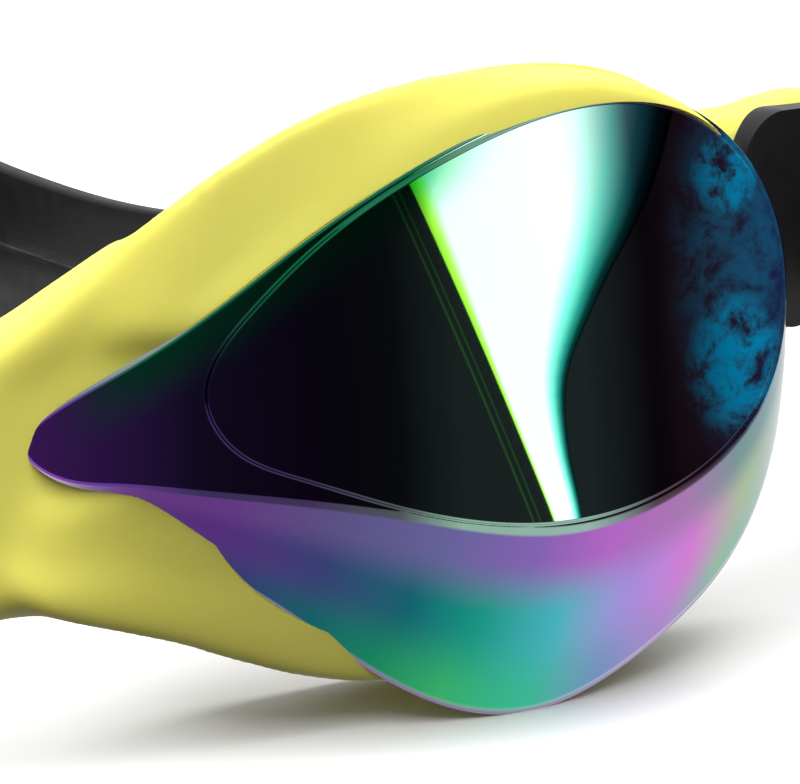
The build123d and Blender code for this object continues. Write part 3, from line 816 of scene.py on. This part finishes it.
def build_frame(material):
    """One silicone moulding: envelope, bridge and arms melted together, then opened for the lenses."""
    solids = []
    cutters = []
    for side in SIDES.values():
        solids.append(body_shell(side))
        solids.append(bridge_shell(side, BRIDGE_SECTIONS))
        solids.append(bridge_shell(side, SHOULDER_SECTIONS))
        solids.append(arm_slab("arm_shell", ARM_OUTLINE, ARM_RADIUS, -ARM_DEPTH, ARM_RISE, side))
        solids.append(arm_slab("lip_shell", LIP_OUTLINE, LIP_RADIUS, -ARM_DEPTH, ARM_LIP, side))
        cutters.append(lens_cutter(side))
        cutters.append(cavity_cutter(side))
        plate = (PLATE_OUTLINE, PLATE_RADIUS, 0.0, PLATE_CUT_HEIGHT)
        cutters.append(arm_slab("plate_cutter", *plate, side, edge=PLATE_CUT_EASE))
    obj = join("silicone_frame", solids)
    remesh = obj.modifiers.new("melt", "REMESH")
    remesh.mode = "VOXEL"
    remesh.voxel_size = FRAME_VOXEL * MM
    remesh.use_smooth_shade = True
    apply_modifiers(obj)
    soften(obj)
    for cutter in cutters:
        cut = obj.modifiers.new("cut", "BOOLEAN")
        cut.operation = "DIFFERENCE"
        cut.solver = "MANIFOLD"
        cut.object = cutter
        apply_modifiers(obj)
    remove(*cutters)
    obj.vertex_groups.clear()
    repaint(obj, material)
    smooth_by_angle(obj, 40)
    obj.visible_glossy = False
    place_piece(obj, "goggles", "frame")


def soften(obj):
    """Smooths the voxel steps, and rounds the joints of the bridge and arms more."""
    place = np.zeros(len(obj.data.vertices) * 3)
    obj.data.vertices.foreach_get("co", place)
    place = place.reshape(-1, 3) / MM
    x = np.abs(place[:, 0])
    bridge, arm = (np.exp(-(((x - middle) / reach) ** 2)) for middle, reach in (BRIDGE_JOINT, ARM_JOINT))
    share = np.clip(bridge + arm * (place[:, 1] + HALF_DEPTH > ARM_JOINT_FRONT), 0, 1)
    group = obj.vertex_groups.new(name="joints")
    for step in range(1, 11):
        chosen = np.nonzero(np.round(share * 10) == step)[0].tolist()
        if chosen:
            group.add(chosen, step / 10, "REPLACE")
    for rounds, vertex_group in ((JOINT_ROUNDS, "joints"), (EVEN_ROUNDS, "")):
        smooth = obj.modifiers.new("soften", "SMOOTH")
        smooth.iterations = rounds
        smooth.factor = 0.5
        smooth.vertex_group = vertex_group
    apply_modifiers(obj)


# ---------------------------------------------------------------- face seal


def build_seal(side_name, side, material):
    """Soft flared gasket with a rolled edge."""
    seat = ring_of(oval(SEAT_OVAL))
    lip = ring_of(SEAL_OUTLINE)
    rings = []

    def ring(share, inset):
        """Ring at a share of the way from the seat to the lip, moved inwards."""
        flat = seat + share**SEAL_FLARE * (lip - seat)
        flat = flat - inset * outward(flat)
        rings.append(upright_points(FACE_PLANE, SEAT_OFFSET * (1 - share), flat))

    for share in np.linspace(0, SEAL_ROLL, 10):
        ring(share, 0.0)
    roll = SEAL_WALL / 2
    for angle in np.linspace(90, -90, 13):
        a = math.radians(angle)
        ring(1 - (1 - math.cos(a)) * (1 - SEAL_ROLL), roll - roll * math.sin(a))
    for share in np.linspace(SEAL_ROLL, 0, 8):
        ring(share, SEAL_WALL - SEAL_THINNING * math.sin(math.pi * share))
    faces = ring_faces(len(rings), RING_SAMPLES, closed=True)
    obj = make_mesh(f"{side_name}_seal_gasket", np.vstack(rings), faces, side)
    outward_faces(obj)
    repaint(obj, material)
    smooth_by_angle(obj, 50)
    place_piece(obj, "goggles", f"{side_name}_face_seal")


# ---------------------------------------------------------------- strap


def arc_points(centre, radius, first, last, flip=False):
    """Points and outward normals along an arc, one every strap step."""
    length = abs(math.radians(last - first)) * radius
    steps = max(int(length / STRAP_STEP), 8)
    a = np.radians(np.linspace(first, last, steps + 1))
    ray = np.stack([np.cos(a), np.sin(a)], 1)
    return centre + radius * ray, -ray if flip else ray


def main_plan(offset, whole):
    """Plan points and normals of a run from the end of the straight stretch, offset outwards."""
    hub = np.array([PIVOT[0] + STRAP_INNER_X - SIDE_RADIUS, STRAP_STRAIGHT_END])
    if not whole:
        return arc_points(hub, SIDE_RADIUS + offset, 0, TAIL_TURN)
    turn = math.radians(SIDE_TURN)
    heading = math.radians(SIDE_TURN - BACK_TURN)
    back = hub + np.array([math.cos(turn), math.sin(turn)]) * (SIDE_RADIUS + BACK_RADIUS)
    apex = back - np.array([math.cos(heading), math.sin(heading)]) * (BACK_RADIUS + APEX_RADIUS)
    parts = [
        arc_points(hub, SIDE_RADIUS + offset, 0, SIDE_TURN),
        arc_points(back, BACK_RADIUS - offset, SIDE_TURN + 180, SIDE_TURN - BACK_TURN + 180, flip=True),
        arc_points(apex, APEX_RADIUS + offset, SIDE_TURN - BACK_TURN, 90),
    ]
    return [np.vstack([parts[0][k]] + [part[k][1:] for part in parts[1:]]) for k in (0, 1)]


def clip_to_row(x, y, z):
    """Point of the clip's own frame in the working frame."""
    tilt = math.radians(REST_TILT)
    turned_y = y * math.cos(tilt) - z * math.sin(tilt)
    turned_z = y * math.sin(tilt) + z * math.cos(tilt)
    return np.array([PIVOT[0] + x, PIVOT[1] + turned_y, PIVOT[2] + turned_z])


def straight_reach():
    """Distance from the pivot to the end of the straight stretch, along the clip."""
    return (STRAP_STRAIGHT_END - PIVOT[1]) / math.cos(math.radians(REST_TILT))


def edge_height(side, points, level):
    """Height of the strap's top or bottom edge as a function of Y."""
    _, y, z = clip_to_row(0, straight_reach(), side * STRAP_CLIP_HEIGHT / 2)
    slope = math.tan(math.radians(REST_TILT))
    before = [(y - run, z - run * slope) for run in (30, 2, 0)]
    beyond = [(points[-1][0] + 20, points[-1][1])] if level else []
    return smooth_line([*before, *points, *beyond])


def plan_at(places, normals, run, s):
    """Plan point and normal at a distance along the run; before it the run goes straight back."""
    point, normal = (np.array([np.interp(s, run, rows[:, k]) for k in (0, 1)]) for rows in (places, normals))
    if s < 0:
        point[1] += s
    return point, unit(normal)


def run_stations(offset, top_points, bottom_points, whole=True, step=STRAP_STEP):
    """Stations of a run past the clip: top and bottom edge points and the outward normal."""
    places, normals = main_plan(offset, whole)
    run = np.concatenate([[0], np.cumsum(np.linalg.norm(np.diff(places, axis=0), axis=1))])
    heights = [(1, edge_height(1, top_points, whole)), (-1, edge_height(-1, bottom_points, whole))]
    lean = STRAP_CLIP_HEIGHT / 2 * math.sin(math.radians(-REST_TILT))
    stations = []
    for s in np.append(np.arange(0, run[-1], step), run[-1]):
        left = 1 - smooth_share(s, 0, LEAN_RUN)
        edges = []
        for side, height in heights:
            point, _ = plan_at(places, normals, run, s + side * lean * left)
            edges.append(np.array([*point, height(point[1])]))
        _, normal = plan_at(places, normals, run, s)
        stations.append((*edges, np.array([*normal, 0.0])))
    return stations


def clip_stations():
    """Stations from the tail's straight stretch round the clip's bar to the main run's start."""
    half = STRAP_CLIP_HEIGHT / 2
    radius = (STRAP_TAIL_X - STRAP_INNER_X) / 2
    reach = straight_reach()
    flat = [(STRAP_TAIL_X, y, 1.0, 0.0) for y in np.arange(reach - STRAP_STEP, BAR[1], -STRAP_STEP)]
    for a in np.radians(np.linspace(0, 180, 19)):
        flat.append((BAR[0] + radius * math.cos(a), BAR[1] - radius * math.sin(a), math.cos(a), -math.sin(a)))
    flat += [(STRAP_INNER_X, y, -1.0, 0.0) for y in np.arange(BAR[1] + STRAP_STEP, reach, STRAP_STEP)]
    stations = []
    for x, y, out_x, out_y in flat:
        normal = clip_to_row(x + out_x, y + out_y, 0) - clip_to_row(x, y, 0)
        stations.append((clip_to_row(x, y, half), clip_to_row(x, y, -half), normal))
    return stations


def rib_depth(distance):
    """Grip ribs near the tail's tip, raised by a smooth wave."""
    first, last = RIB_RANGE
    if not first < distance < last:
        return 0.0
    return RIB_HEIGHT * max(0.0, math.sin(math.pi * (distance - first))) ** 0.8


def tip_share(distance):
    """Share of the strap's full height near the tail's rounded tip."""
    left = 1 - min(distance / TIP_LENGTH, 1)
    return min(1.0, math.sqrt(max(0.02, 1 - left**2)))


def strap_path():
    """All stations of one half, from the tail's tip to the middle of the back, and its rib depths."""
    offset = STRAP_TAIL_X - STRAP_INNER_X
    tail = run_stations(offset, TAIL_TOP_EDGE, TAIL_BOTTOM_EDGE, whole=False, step=TAIL_STEP)
    # On the main run the outward side is the inner one of the turn, so its normal is turned round.
    stations = run_stations(0, STRAP_TOP_EDGE, STRAP_BOTTOM_EDGE)
    main_run = [(top, bottom, -normal) for top, bottom, normal in stations]
    distance = np.arange(len(tail)) * TAIL_STEP
    stations = []
    for (top, bottom, normal), share in zip(tail[::-1], map(tip_share, distance)):
        middle = (top + bottom) / 2
        stations.append((middle + (top - middle) * share, middle + (bottom - middle) * share, normal))
    stations += clip_stations() + main_run
    ribs = [rib_depth(d) for d in distance]
    return stations, ribs + [0.0] * (len(stations) - len(tail))


def half_section(station, low, high, relief, low_round, high_round):
    """Ring of one band between two shares of the strap's height, with rounded edges."""
    top, bottom, normal = station
    height = np.linalg.norm(top - bottom)
    half = STRAP_THICKNESS / 2
    low, high = low * height, high * height
    quarter = np.radians(np.linspace(0, 90, ROUND_STEPS + 1))
    lift = np.linspace(0, relief, ROUND_STEPS + 1)
    spread = np.linspace(low + low_round, high - high_round, FLAT_POINTS + 2)[1:-1]
    points = []

    def put(along, out):
        points.append(bottom + (top - bottom) * np.clip(along / height, 0, 1) + normal * out)

    def put_edge(place, inwards, radius, out, angles, lifts):
        """Rounded edge at a place, on the outer side if out is 1 and the inner one if it is -1."""
        for a, raised in zip(angles, lifts):
            depth = half - radius * (1 - math.cos(a))
            put(place + inwards * radius * (1 - math.sin(a)), out * depth + raised)

    level = np.zeros(ROUND_STEPS + 1)
    put_edge(low, 1, low_round, -1, quarter[::-1], level)
    for along in spread:
        put(along, -half)
    put_edge(high, -1, high_round, -1, quarter, level)
    put_edge(high, -1, high_round, 1, quarter[::-1], lift)
    for along in spread[::-1]:
        put(along, half + relief)
    put_edge(low, 1, low_round, 1, quarter, lift[::-1])
    return points


def slot_share(station):
    """Share of the strap's height where its slit runs, and half the slit as a share."""
    top, bottom, _ = station
    middle = (top[1] + bottom[1]) / 2
    height = top[2] - bottom[2]
    share = (float(smooth_line(SLOT_LINE)(middle)) - bottom[2]) / height
    opened = min(1.0, max(0.0, (middle - SLOT_LINE[0][0]) / SLOT_OPENING))
    return share, SLOT_HALF / height * opened**0.5


def split_start(stations):
    """First station of the main run past the slit's start."""
    for i, (top, bottom, _) in enumerate(stations):
        if i > len(stations) // 2 and (top[1] + bottom[1]) / 2 > SLOT_LINE[0][0]:
            return i
    return len(stations)


def strap_half(side):
    """One half of the strap, as two bands that are one strap before the slit."""
    stations, relief = strap_path()
    split = split_start(stations)
    first_share = slot_share(stations[split])[0]
    points = []
    faces = []
    for band in (0, 1):
        base = len(points)
        for i, station in enumerate(stations):
            share, gap = (0.5, 0.0) if i < split else slot_share(station)
            if split - SLOT_LEAD < i < split:
                share += (first_share - 0.5) * (i - split + SLOT_LEAD) / SLOT_LEAD
            inner = min(STRAP_ROUND, gap * np.linalg.norm(station[0] - station[1]) * 0.7)
            if band:
                ring = half_section(station, share + gap, 1.0, relief[i], inner, STRAP_ROUND)
            else:
                ring = half_section(station, 0.0, share - gap, relief[i], STRAP_ROUND, inner)
            points.extend(ring)
        faces += band_faces(band, base, len(ring), len(stations), split)
    return make_mesh("strap_half", points, faces, side)


def band_faces(band, base, count, rings, split):
    """Faces of one band; before the slit it has no wall towards the other one."""
    edge = ROUND_STEPS + 1
    if band:
        shared = set(range(edge - 1)) | set(range(count - edge, count))
    else:
        shared = set(range(edge + FLAT_POINTS, 3 * edge + FLAT_POINTS - 1))
    faces = []
    for r in range(rings - 1):
        a = base + r * count
        for i in range(count):
            if r >= split or i not in shared:
                j = (i + 1) % count
                faces.append((a + i, a + j, a + count + j, a + count + i))
    return faces + [tuple(range(base, base + count))]


def build_strap(material):
    """Black silicone strap, one half after the other, split into two bands past the side."""
    obj = join("split_head_strap", [strap_half(side) for side in SIDES.values()])
    weld(obj, 2e-5)
    outward_faces(obj)
    repaint(obj, material)
    smooth_by_angle(obj, 45)
    place_piece(obj, "strap_assembly", "head_strap")


# ---------------------------------------------------------------- materials


def add(tree, kind, inputs=None, **settings):
    """Adds a node. Inputs are values or other nodes' sockets, by the input's name or index."""
    node = tree.nodes.new(kind)
    for key, value in settings.items():
        setattr(node, key, value)
    for key, value in (inputs or {}).items():
        socket = node.inputs[key]
        if isinstance(value, bpy.types.NodeSocket):
            tree.links.new(value, socket)
        else:
            socket.default_value = value
    return node


def maths(tree, operation, a, b=0.0, c=0.0):
    return add(tree, "ShaderNodeMath", {0: a, 1: b, 2: c}, operation=operation).outputs[0]


def fade(tree, value, low, high, out_low=0.0, out_high=1.0):
    """Smooth step of a value from low to high."""
    inputs = {"Value": value, "From Min": low, "From Max": high, "To Min": out_low, "To Max": out_high}
    return add(tree, "ShaderNodeMapRange", inputs, interpolation_type="SMOOTHSTEP").outputs[0]


def blend_colours(tree, share, a, b):
    return add(tree, "ShaderNodeMix", {0: share, 6: a, 7: b}, data_type="RGBA").outputs[2]


def ramp(tree, value, stops):
    """Colour ramp from (position, colour) stops."""
    node = add(tree, "ShaderNodeValToRGB", {0: value})
    elements = node.color_ramp.elements
    while len(elements) < len(stops):
        elements.new(0.5)
    for element, (position, colour) in zip(elements, stops):
        element.position = position
        element.color = colour
    return node.outputs[0]


def rgb(r, g, b):
    """Linear colour of 8-bit display values."""
    linear = [(c / 255 / 12.92) if c < 10 else ((c / 255 + 0.055) / 1.055) ** 2.4 for c in (r, g, b)]
    return (*linear, 1.0)


def tint_ramp(tree, value, tints):
    return ramp(tree, value, [(place, rgb(*colour)) for place, *colour in tints])


def new_material(name, **values):
    """Material with its shader's own values set, and its tree, shader and object coordinates."""
    material = bpy.data.materials.new(name)
    material.use_nodes = True
    tree = material.node_tree
    shader = tree.nodes["Principled BSDF"]
    for key, value in values.items():
        shader.inputs[key.replace("_", " ")].default_value = value
    place = add(tree, "ShaderNodeTexCoord").outputs["Object"]
    return material, tree, shader, place


def noise(tree, place, scale, detail=3.0, rough=0.5, distortion=0.0):
    inputs = {"Vector": place, "Scale": scale, "Detail": detail, "Roughness": rough, "Distortion": distortion}
    return add(tree, "ShaderNodeTexNoise", inputs).outputs[0]


def paint(tree, shader, share, colours, rough_share, rough_range):
    """Base colour blended by a share, and roughness drifting over a range."""
    tree.links.new(blend_colours(tree, share, *colours), shader.inputs["Base Color"])
    tree.links.new(fade(tree, rough_share, 0.3, 0.7, *rough_range), shader.inputs["Roughness"])


def bump(tree, shader, height, strength, distance):
    node = add(tree, "ShaderNodeBump", {"Height": height, "Strength": strength, "Distance": distance})
    tree.links.new(node.outputs[0], shader.inputs["Normal"])


def silicone(name, light, dark):
    """Translucent moulded silicone with slow colour drift and a faint matt grain."""
    material, tree, shader, place = new_material(
        name,
        Subsurface_Weight=0.25,
        Subsurface_Radius=(1.0, 0.8, 0.15),
        Subsurface_Scale=0.0015,
        Specular_IOR_Level=0.4,
    )
    drift = fade(tree, noise(tree, place, 60.0), 0.35, 0.65)
    paint(tree, shader, drift, (light, dark), noise(tree, place, 260.0), (0.42, 0.52))
    bump(tree, shader, noise(tree, place, 2200.0, 4.0), 0.12, 0.00006)
    return material


def black_rubber(name, colour, rough_range, grain_scale, grain_height):
    """Near-black moulding with a fine grain."""
    material, tree, shader, place = new_material(name, Specular_IOR_Level=0.45)
    colours = ((*colour, 1.0), (*(c * 1.6 for c in colour), 1.0))
    paint(tree, shader, noise(tree, place, 90.0), colours, noise(tree, place, 500.0), rough_range)
    bump(tree, shader, noise(tree, place, grain_scale, 3.0), 0.3, grain_height)
    return material


def steel(name):
    material, tree, shader, place = new_material(name, Metallic=1.0)
    brushed = add(tree, "ShaderNodeMapping", {"Vector": place, "Scale": (1.0, 1.0, 14.0)}).outputs[0]
    lines = noise(tree, brushed, 1500.0)
    paint(tree, shader, lines, (rgb(150, 150, 152), rgb(205, 205, 208)), lines, (0.18, 0.36))
    bump(tree, shader, lines, 0.1, 0.00003)
    return material


def smoke(name):
    """Dark tinted polycarbonate, as seen from the eye's side of the lens."""
    material, tree, shader, place = new_material(name, Specular_IOR_Level=0.5)
    colours = (rgb(26, 30, 44), rgb(40, 36, 58))
    paint(tree, shader, noise(tree, place, 40.0), colours, noise(tree, place, 900.0), (0.06, 0.12))
    return material


def nearness(tree, u, v, patch):
    """Share from 1 in the middle of an oval patch of the lens face to 0 outside it."""
    centre_u, centre_v, half_u, half_v = patch
    across = maths(tree, "DIVIDE", maths(tree, "SUBTRACT", u, centre_u), half_u)
    up = maths(tree, "DIVIDE", maths(tree, "SUBTRACT", v, centre_v), half_v)
    away = maths(tree, "ADD", maths(tree, "POWER", across, 2.0), maths(tree, "POWER", up, 2.0))
    return fade(tree, away, 1.1, 0.1)


def cloud_patches(tree, place, u, v):
    """Mask of the smeared patches near the outer end of the lens face."""
    cover = maths(tree, "MULTIPLY", nearness(tree, u, v, HAZE), HAZE_SHARE)
    for patch in CLOUDS:
        cover = maths(tree, "MAXIMUM", cover, nearness(tree, u, v, patch))
    smear = fade(tree, noise(tree, place, 420.0, 10.0, 0.7, 0.35), 0.36, 0.60)
    return maths(tree, "MULTIPLY", cover, smear)


def margin_share(tree, u, v):
    """Share of the green tint on the narrow margin between the facet and the upper rim."""
    upper = fade(tree, maths(tree, "MULTIPLY_ADD", u, -0.55, v), 8.0, 12.0)
    past_nose = fade(tree, u, -29.5, -22.0)
    before_wedge = fade(tree, u, 3.0, -5.0)
    return maths(tree, "MULTIPLY", maths(tree, "MULTIPLY", upper, past_nose), before_wedge)


def lens_coating():
    """Iridescent mirror coating: a dark tinted face and a skirt whose colours drift along it, with a painted
    reflection as a lighter band below the crease towards the nose end.
    """
    material, tree, shader, place = new_material("lens_mirror_coating", Metallic=1.0, Roughness=0.015)
    face = add(tree, "ShaderNodeAttribute", attribute_name="lens_face").outputs["Vector"]
    skirt = add(tree, "ShaderNodeAttribute", attribute_name="lens_skirt").outputs["Vector"]
    u, v, _ = add(tree, "ShaderNodeSeparateXYZ", {0: face}).outputs
    along, depth, _ = add(tree, "ShaderNodeSeparateXYZ", {0: skirt}).outputs
    shift = maths(tree, "MULTIPLY_ADD", noise(tree, place, 45.0, 2.0), 0.05, -0.025)
    start, end = FACE_SPAN
    share = maths(tree, "DIVIDE", maths(tree, "SUBTRACT", u, start), end - start)
    face_colour = tint_ramp(tree, maths(tree, "ADD", share, shift), FACE_TINTS)
    face_colour = blend_colours(tree, margin_share(tree, u, v), face_colour, rgb(*MARGIN_GREEN))
    face_colour = blend_colours(tree, cloud_patches(tree, place, u, v), face_colour, rgb(*CLOUD_BLUE))
    moved = maths(tree, "MULTIPLY_ADD", shift, 0.4, along)
    # The row just below the crease is the coating's colours with a painted reflection: a lighter band towards
    # the nose end.
    top, middle, bottom = (tint_ramp(tree, moved, tints) for tints in (SKIRT_TOP_AND_PAINTED_REFLECTION, SKIRT_MIDDLE, SKIRT_BOTTOM))
    skirt_colour = blend_colours(tree, fade(tree, depth, 0.12, 0.45), top, middle)
    skirt_colour = blend_colours(tree, fade(tree, depth, 0.5, 0.95), skirt_colour, bottom)
    skirt_colour = blend_colours(tree, fade(tree, depth, 0.96, 0.995), skirt_colour, rgb(*SKIRT_EDGE))
    colour = blend_colours(tree, fade(tree, depth, 0.0, 0.02), face_colour, skirt_colour)
    tree.links.new(colour, shader.inputs["Base Color"])
    return material


# ---------------------------------------------------------------- studio


def view_back():
    """Direction from the object to the camera."""
    a = math.radians(VIEW_AZIMUTH)
    e = math.radians(VIEW_ELEVATION)
    return Vector((math.sin(a) * math.cos(e), -math.cos(a) * math.cos(e), math.sin(e)))


def aim(obj, direction):
    obj.rotation_mode = "QUATERNION"
    obj.rotation_quaternion = direction.to_track_quat("-Z", "Y")


def build_camera():
    data = bpy.data.cameras.new("camera")
    data.lens = VIEW_LENS
    data.clip_start = 0.01
    data.clip_end = 20.0
    camera = link("camera", data)
    camera.location = Vector(to_row([VIEW_TARGET])[0]) + view_back() * VIEW_DISTANCE * MM
    aim(camera, -view_back())
    bpy.context.scene.camera = camera


def area_light(name, location, size, power):
    """Soft light on the goggles that mirrors don't show."""
    data = bpy.data.lights.new(name, "AREA")
    data.shape = "RECTANGLE"
    data.size, data.size_y = size
    data.energy = power
    light = link(name, data)
    light.location = location
    aim(light, Vector(KEY_TARGET) - Vector(location))
    light.visible_glossy = False


def build_world():
    """White to the camera, soft and pale to the surfaces, and dim in front for mirror reflections."""
    world = bpy.data.worlds.new("studio")
    bpy.context.scene.world = world
    world.use_nodes = True
    tree = world.node_tree
    place = add(tree, "ShaderNodeTexCoord").outputs["Generated"]
    x, y, z = add(tree, "ShaderNodeSeparateXYZ", {0: place}).outputs
    lit = maths(tree, "MAXIMUM", fade(tree, y, -0.1, 0.7), fade(tree, z, 0.45, 0.95))
    front = blend_colours(tree, fade(tree, x, 0.38, 0.05), GLOSSY_FRONT, GLOSSY_LEFT)
    front = blend_colours(tree, fade(tree, x, 0.69, 0.80), front, GLOSSY_RIGHT)
    glossy = blend_colours(tree, lit, front, GLOSSY_BEHIND)
    soft = blend_colours(tree, fade(tree, z, 0.0, 0.8), SKY_LOW, SKY_HIGH)
    soft = blend_colours(tree, fade(tree, z, 0.0, -0.15), soft, SKY_BELOW)
    path = add(tree, "ShaderNodeLightPath").outputs
    colour = blend_colours(tree, path["Is Glossy Ray"], soft, glossy)
    colour = blend_colours(tree, path["Is Camera Ray"], colour, (1.0, 1.0, 1.0, 1))
    tree.links.new(colour, tree.nodes["Background"].inputs[0])


def stage_card(name, points, columns, material):
    """Sheet of the stage from rows of points, with its own coordinates from 0 to 1."""
    rows = len(points) // columns
    quads = []
    for row in range(rows - 1):
        for k in range(columns - 1):
            a = row * columns + k
            quads.append((a, a + 1, a + columns + 1, a + columns))
    mesh = bpy.data.meshes.new(name)
    mesh.from_pydata(points, [], quads)
    layer = mesh.uv_layers.new(name="place")
    for loop in mesh.loops:
        row, k = divmod(loop.vertex_index, columns)
        layer.data[loop.index].uv = (k / (columns - 1), row / (rows - 1))
    obj = link(name, mesh)
    repaint(obj, material)
    return obj


def level_card(name, size, height, material):
    """Square level sheet round the middle of the stage."""
    half = size / 2
    points = [(x, y, height) for y in (-half, half) for x in (-half, half)]
    return stage_card(name, points, 2, material)


def floor_material():
    material, tree, shader, place = new_material("floor_paper", Roughness=0.9, Specular_IOR_Level=0.1)
    fibre = blend_colours(tree, noise(tree, place, 30.0), (0.9, 0.9, 0.9, 1), (0.93, 0.93, 0.93, 1))
    tree.links.new(fibre, shader.inputs["Base Color"])
    return material


def glow_material(name, colour_of):
    """Emission whose colour and strength are worked out from the card's own coordinates."""
    material = bpy.data.materials.new(name)
    material.use_nodes = True
    tree = material.node_tree
    tree.nodes.clear()
    place = add(tree, "ShaderNodeUVMap", uv_map="place").outputs[0]
    x, y, _ = add(tree, "ShaderNodeSeparateXYZ", {0: place}).outputs
    colour, strength = colour_of(tree, x, y)
    glow = add(tree, "ShaderNodeEmission", {"Color": colour, "Strength": strength})
    add(tree, "ShaderNodeOutputMaterial", {0: glow.outputs[0]})
    return material


def only_in_reflections(obj):
    obj.visible_camera = False
    obj.visible_diffuse = False
    obj.visible_shadow = False
    obj.visible_transmission = False


def near_floor_glow(tree, x, y):
    """White that fades from the middle of the card to its edges."""
    squares = [maths(tree, "POWER", maths(tree, "SUBTRACT", place, 0.5), 2.0) for place in (x, y)]
    away = maths(tree, "SQRT", maths(tree, "ADD", *squares))
    return (1.0, 1.0, 1.0, 1.0), fade(tree, away, 0.5, 0.3, 0.03, 0.85)


def wedge_glow(tree, x, y):
    return ramp(tree, x, WEDGE_COLOURS), WEDGE_STRENGTH


def streak_glow(tree, x, y):
    return STREAK_COLOUR, STREAK_STRENGTH


def reflected(point_u, point_v):
    """Lens point and the direction in which the camera sees the surroundings mirrored there."""
    spot = lens_points(point_u, point_v, dome(point_u, point_v, LENS_RADIUS + FACET_STEP))
    normal = unit(spot - LENS_CENTRE + FORWARD * LENS_RADIUS)
    back = unit(np.array(VIEW_TARGET) + np.array(view_back()) * VIEW_DISTANCE - spot)
    return spot, 2 * (normal @ back) * normal - back


def soft_card(name, left, right, colour_of):
    """Card in front on the right, placed where its mirror image fills a patch of the left lens.

    The patch lies between two curves that give the distance across the lens at each height.
    """
    spots = []
    for v in np.linspace(*CARD_HEIGHTS, CARD_ROWS):
        spots.extend(reflected(u, v) for u in np.linspace(left(v), right(v), CARD_COLUMNS))
    towards = unit(sum(ray for _, ray in spots))
    origin = LENS_CENTRE + towards * CARD_DISTANCE
    points = [spot + ray * ((origin - spot) @ towards) / (ray @ towards) for spot, ray in spots]
    glow = glow_material(name + "_glow", colour_of)
    only_in_reflections(stage_card(name, to_row(points).tolist(), CARD_COLUMNS, glow))


def build_softbox():
    """Bright wedge on the left lens, and the faint lines beside its sharp edge."""
    (start_u, start_v), (end_u, end_v) = WEDGE_EDGE
    soft = smooth_line([(v, u) for u, v in WEDGE_FADE])

    def sharp(v):
        return start_u + (end_u - start_u) * (v - start_v) / (end_v - start_v)

    soft_card("softbox", sharp, lambda v: float(soft(v)), wedge_glow)
    for place, width in STREAKS:
        streak = (lambda v, place=place: sharp(v) + place, lambda v, end=place + width: sharp(v) + end)
        soft_card("softbox_rim", *streak, streak_glow)


def build_stage():
    floor = level_card("floor", FLOOR_SIZE, 0.0, floor_material())
    floor.visible_glossy = False
    floor.visible_diffuse = False
    glow = glow_material("near_floor_glow", near_floor_glow)
    only_in_reflections(level_card("near_floor", NEAR_FLOOR_SIZE, NEAR_FLOOR_HEIGHT, glow))
    build_softbox()
    area_light("key", KEY_PLACE, KEY_SIZE, KEY_POWER)
    area_light("fill", FILL_PLACE, FILL_SIZE, FILL_POWER)


# ---------------------------------------------------------------- CAD nodes


def finish_mesh(obj, width, material):
    """Gives a CAD node's mesh its material and eased edges."""
    repaint(obj, material)
    obj.modifiers.new("weld", "WELD").merge_threshold = 1e-6
    soft = obj.modifiers.new("eased_edges", "BEVEL")
    soft.width = width * MM
    soft.segments = 3
    soft.limit_method = "ANGLE"
    soft.angle_limit = math.radians(35)
    soft.harden_normals = False


def build_leaf_spring(side_name, material):
    """Leaf spring with eased edges, a copy of its CAD node's mesh."""
    node = f"{side_name}_button_spring"
    obj = link(f"{side_name}_leaf_spring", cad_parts[node].data.copy())
    finish_mesh(obj, SPRING_BEVEL, material)
    apply_modifiers(obj)
    place_piece(obj, "strap_assembly", node)
    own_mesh(obj)


def main():
    build_camera()
    build_world()
    build_stage()
    bpy.context.scene.view_settings.view_transform = "Standard"
    frame_silicone = silicone("frame_silicone", rgb(243, 236, 114), rgb(237, 229, 104))
    seal_silicone = silicone("seal_silicone", rgb(226, 214, 84), rgb(216, 204, 74))
    coating = lens_coating()
    tinted = smoke("lens_inside")
    strap_rubber = black_rubber("strap_silicone", (0.012, 0.012, 0.013), (0.38, 0.5), 2600.0, 0.00008)
    hard_black = black_rubber("hard_black", (0.010, 0.010, 0.011), (0.28, 0.4), 4000.0, 0.00004)
    metal = steel("bright_steel")
    node_materials = {
        "outrigger": hard_black,
        "swivel_pin": metal,
        "clip_housing": hard_black,
        "clip_cover": hard_black,
        "release_button": black_rubber("button_plastic", (0.03, 0.03, 0.032), (0.35, 0.45), 4000.0, 0.00004),
        "strap_keeper": black_rubber("keeper_silicone", (0.016, 0.016, 0.017), (0.42, 0.55), 2600.0, 0.00008),
        "lens_carrier": black_rubber("carrier_plastic", (0.02, 0.021, 0.026), (0.2, 0.3), 3000.0, 0.00004),
    }
    for side_name, side in SIDES.items():
        build_lens(side_name, side, coating, tinted)
        build_seal(side_name, side, seal_silicone)
        build_leaf_spring(side_name, metal)
        for part, width in BEVELS.items():
            finish_mesh(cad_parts[f"{side_name}_{part}"], width, node_materials[part])
    build_frame(frame_silicone)
    build_strap(strap_rubber)


main()
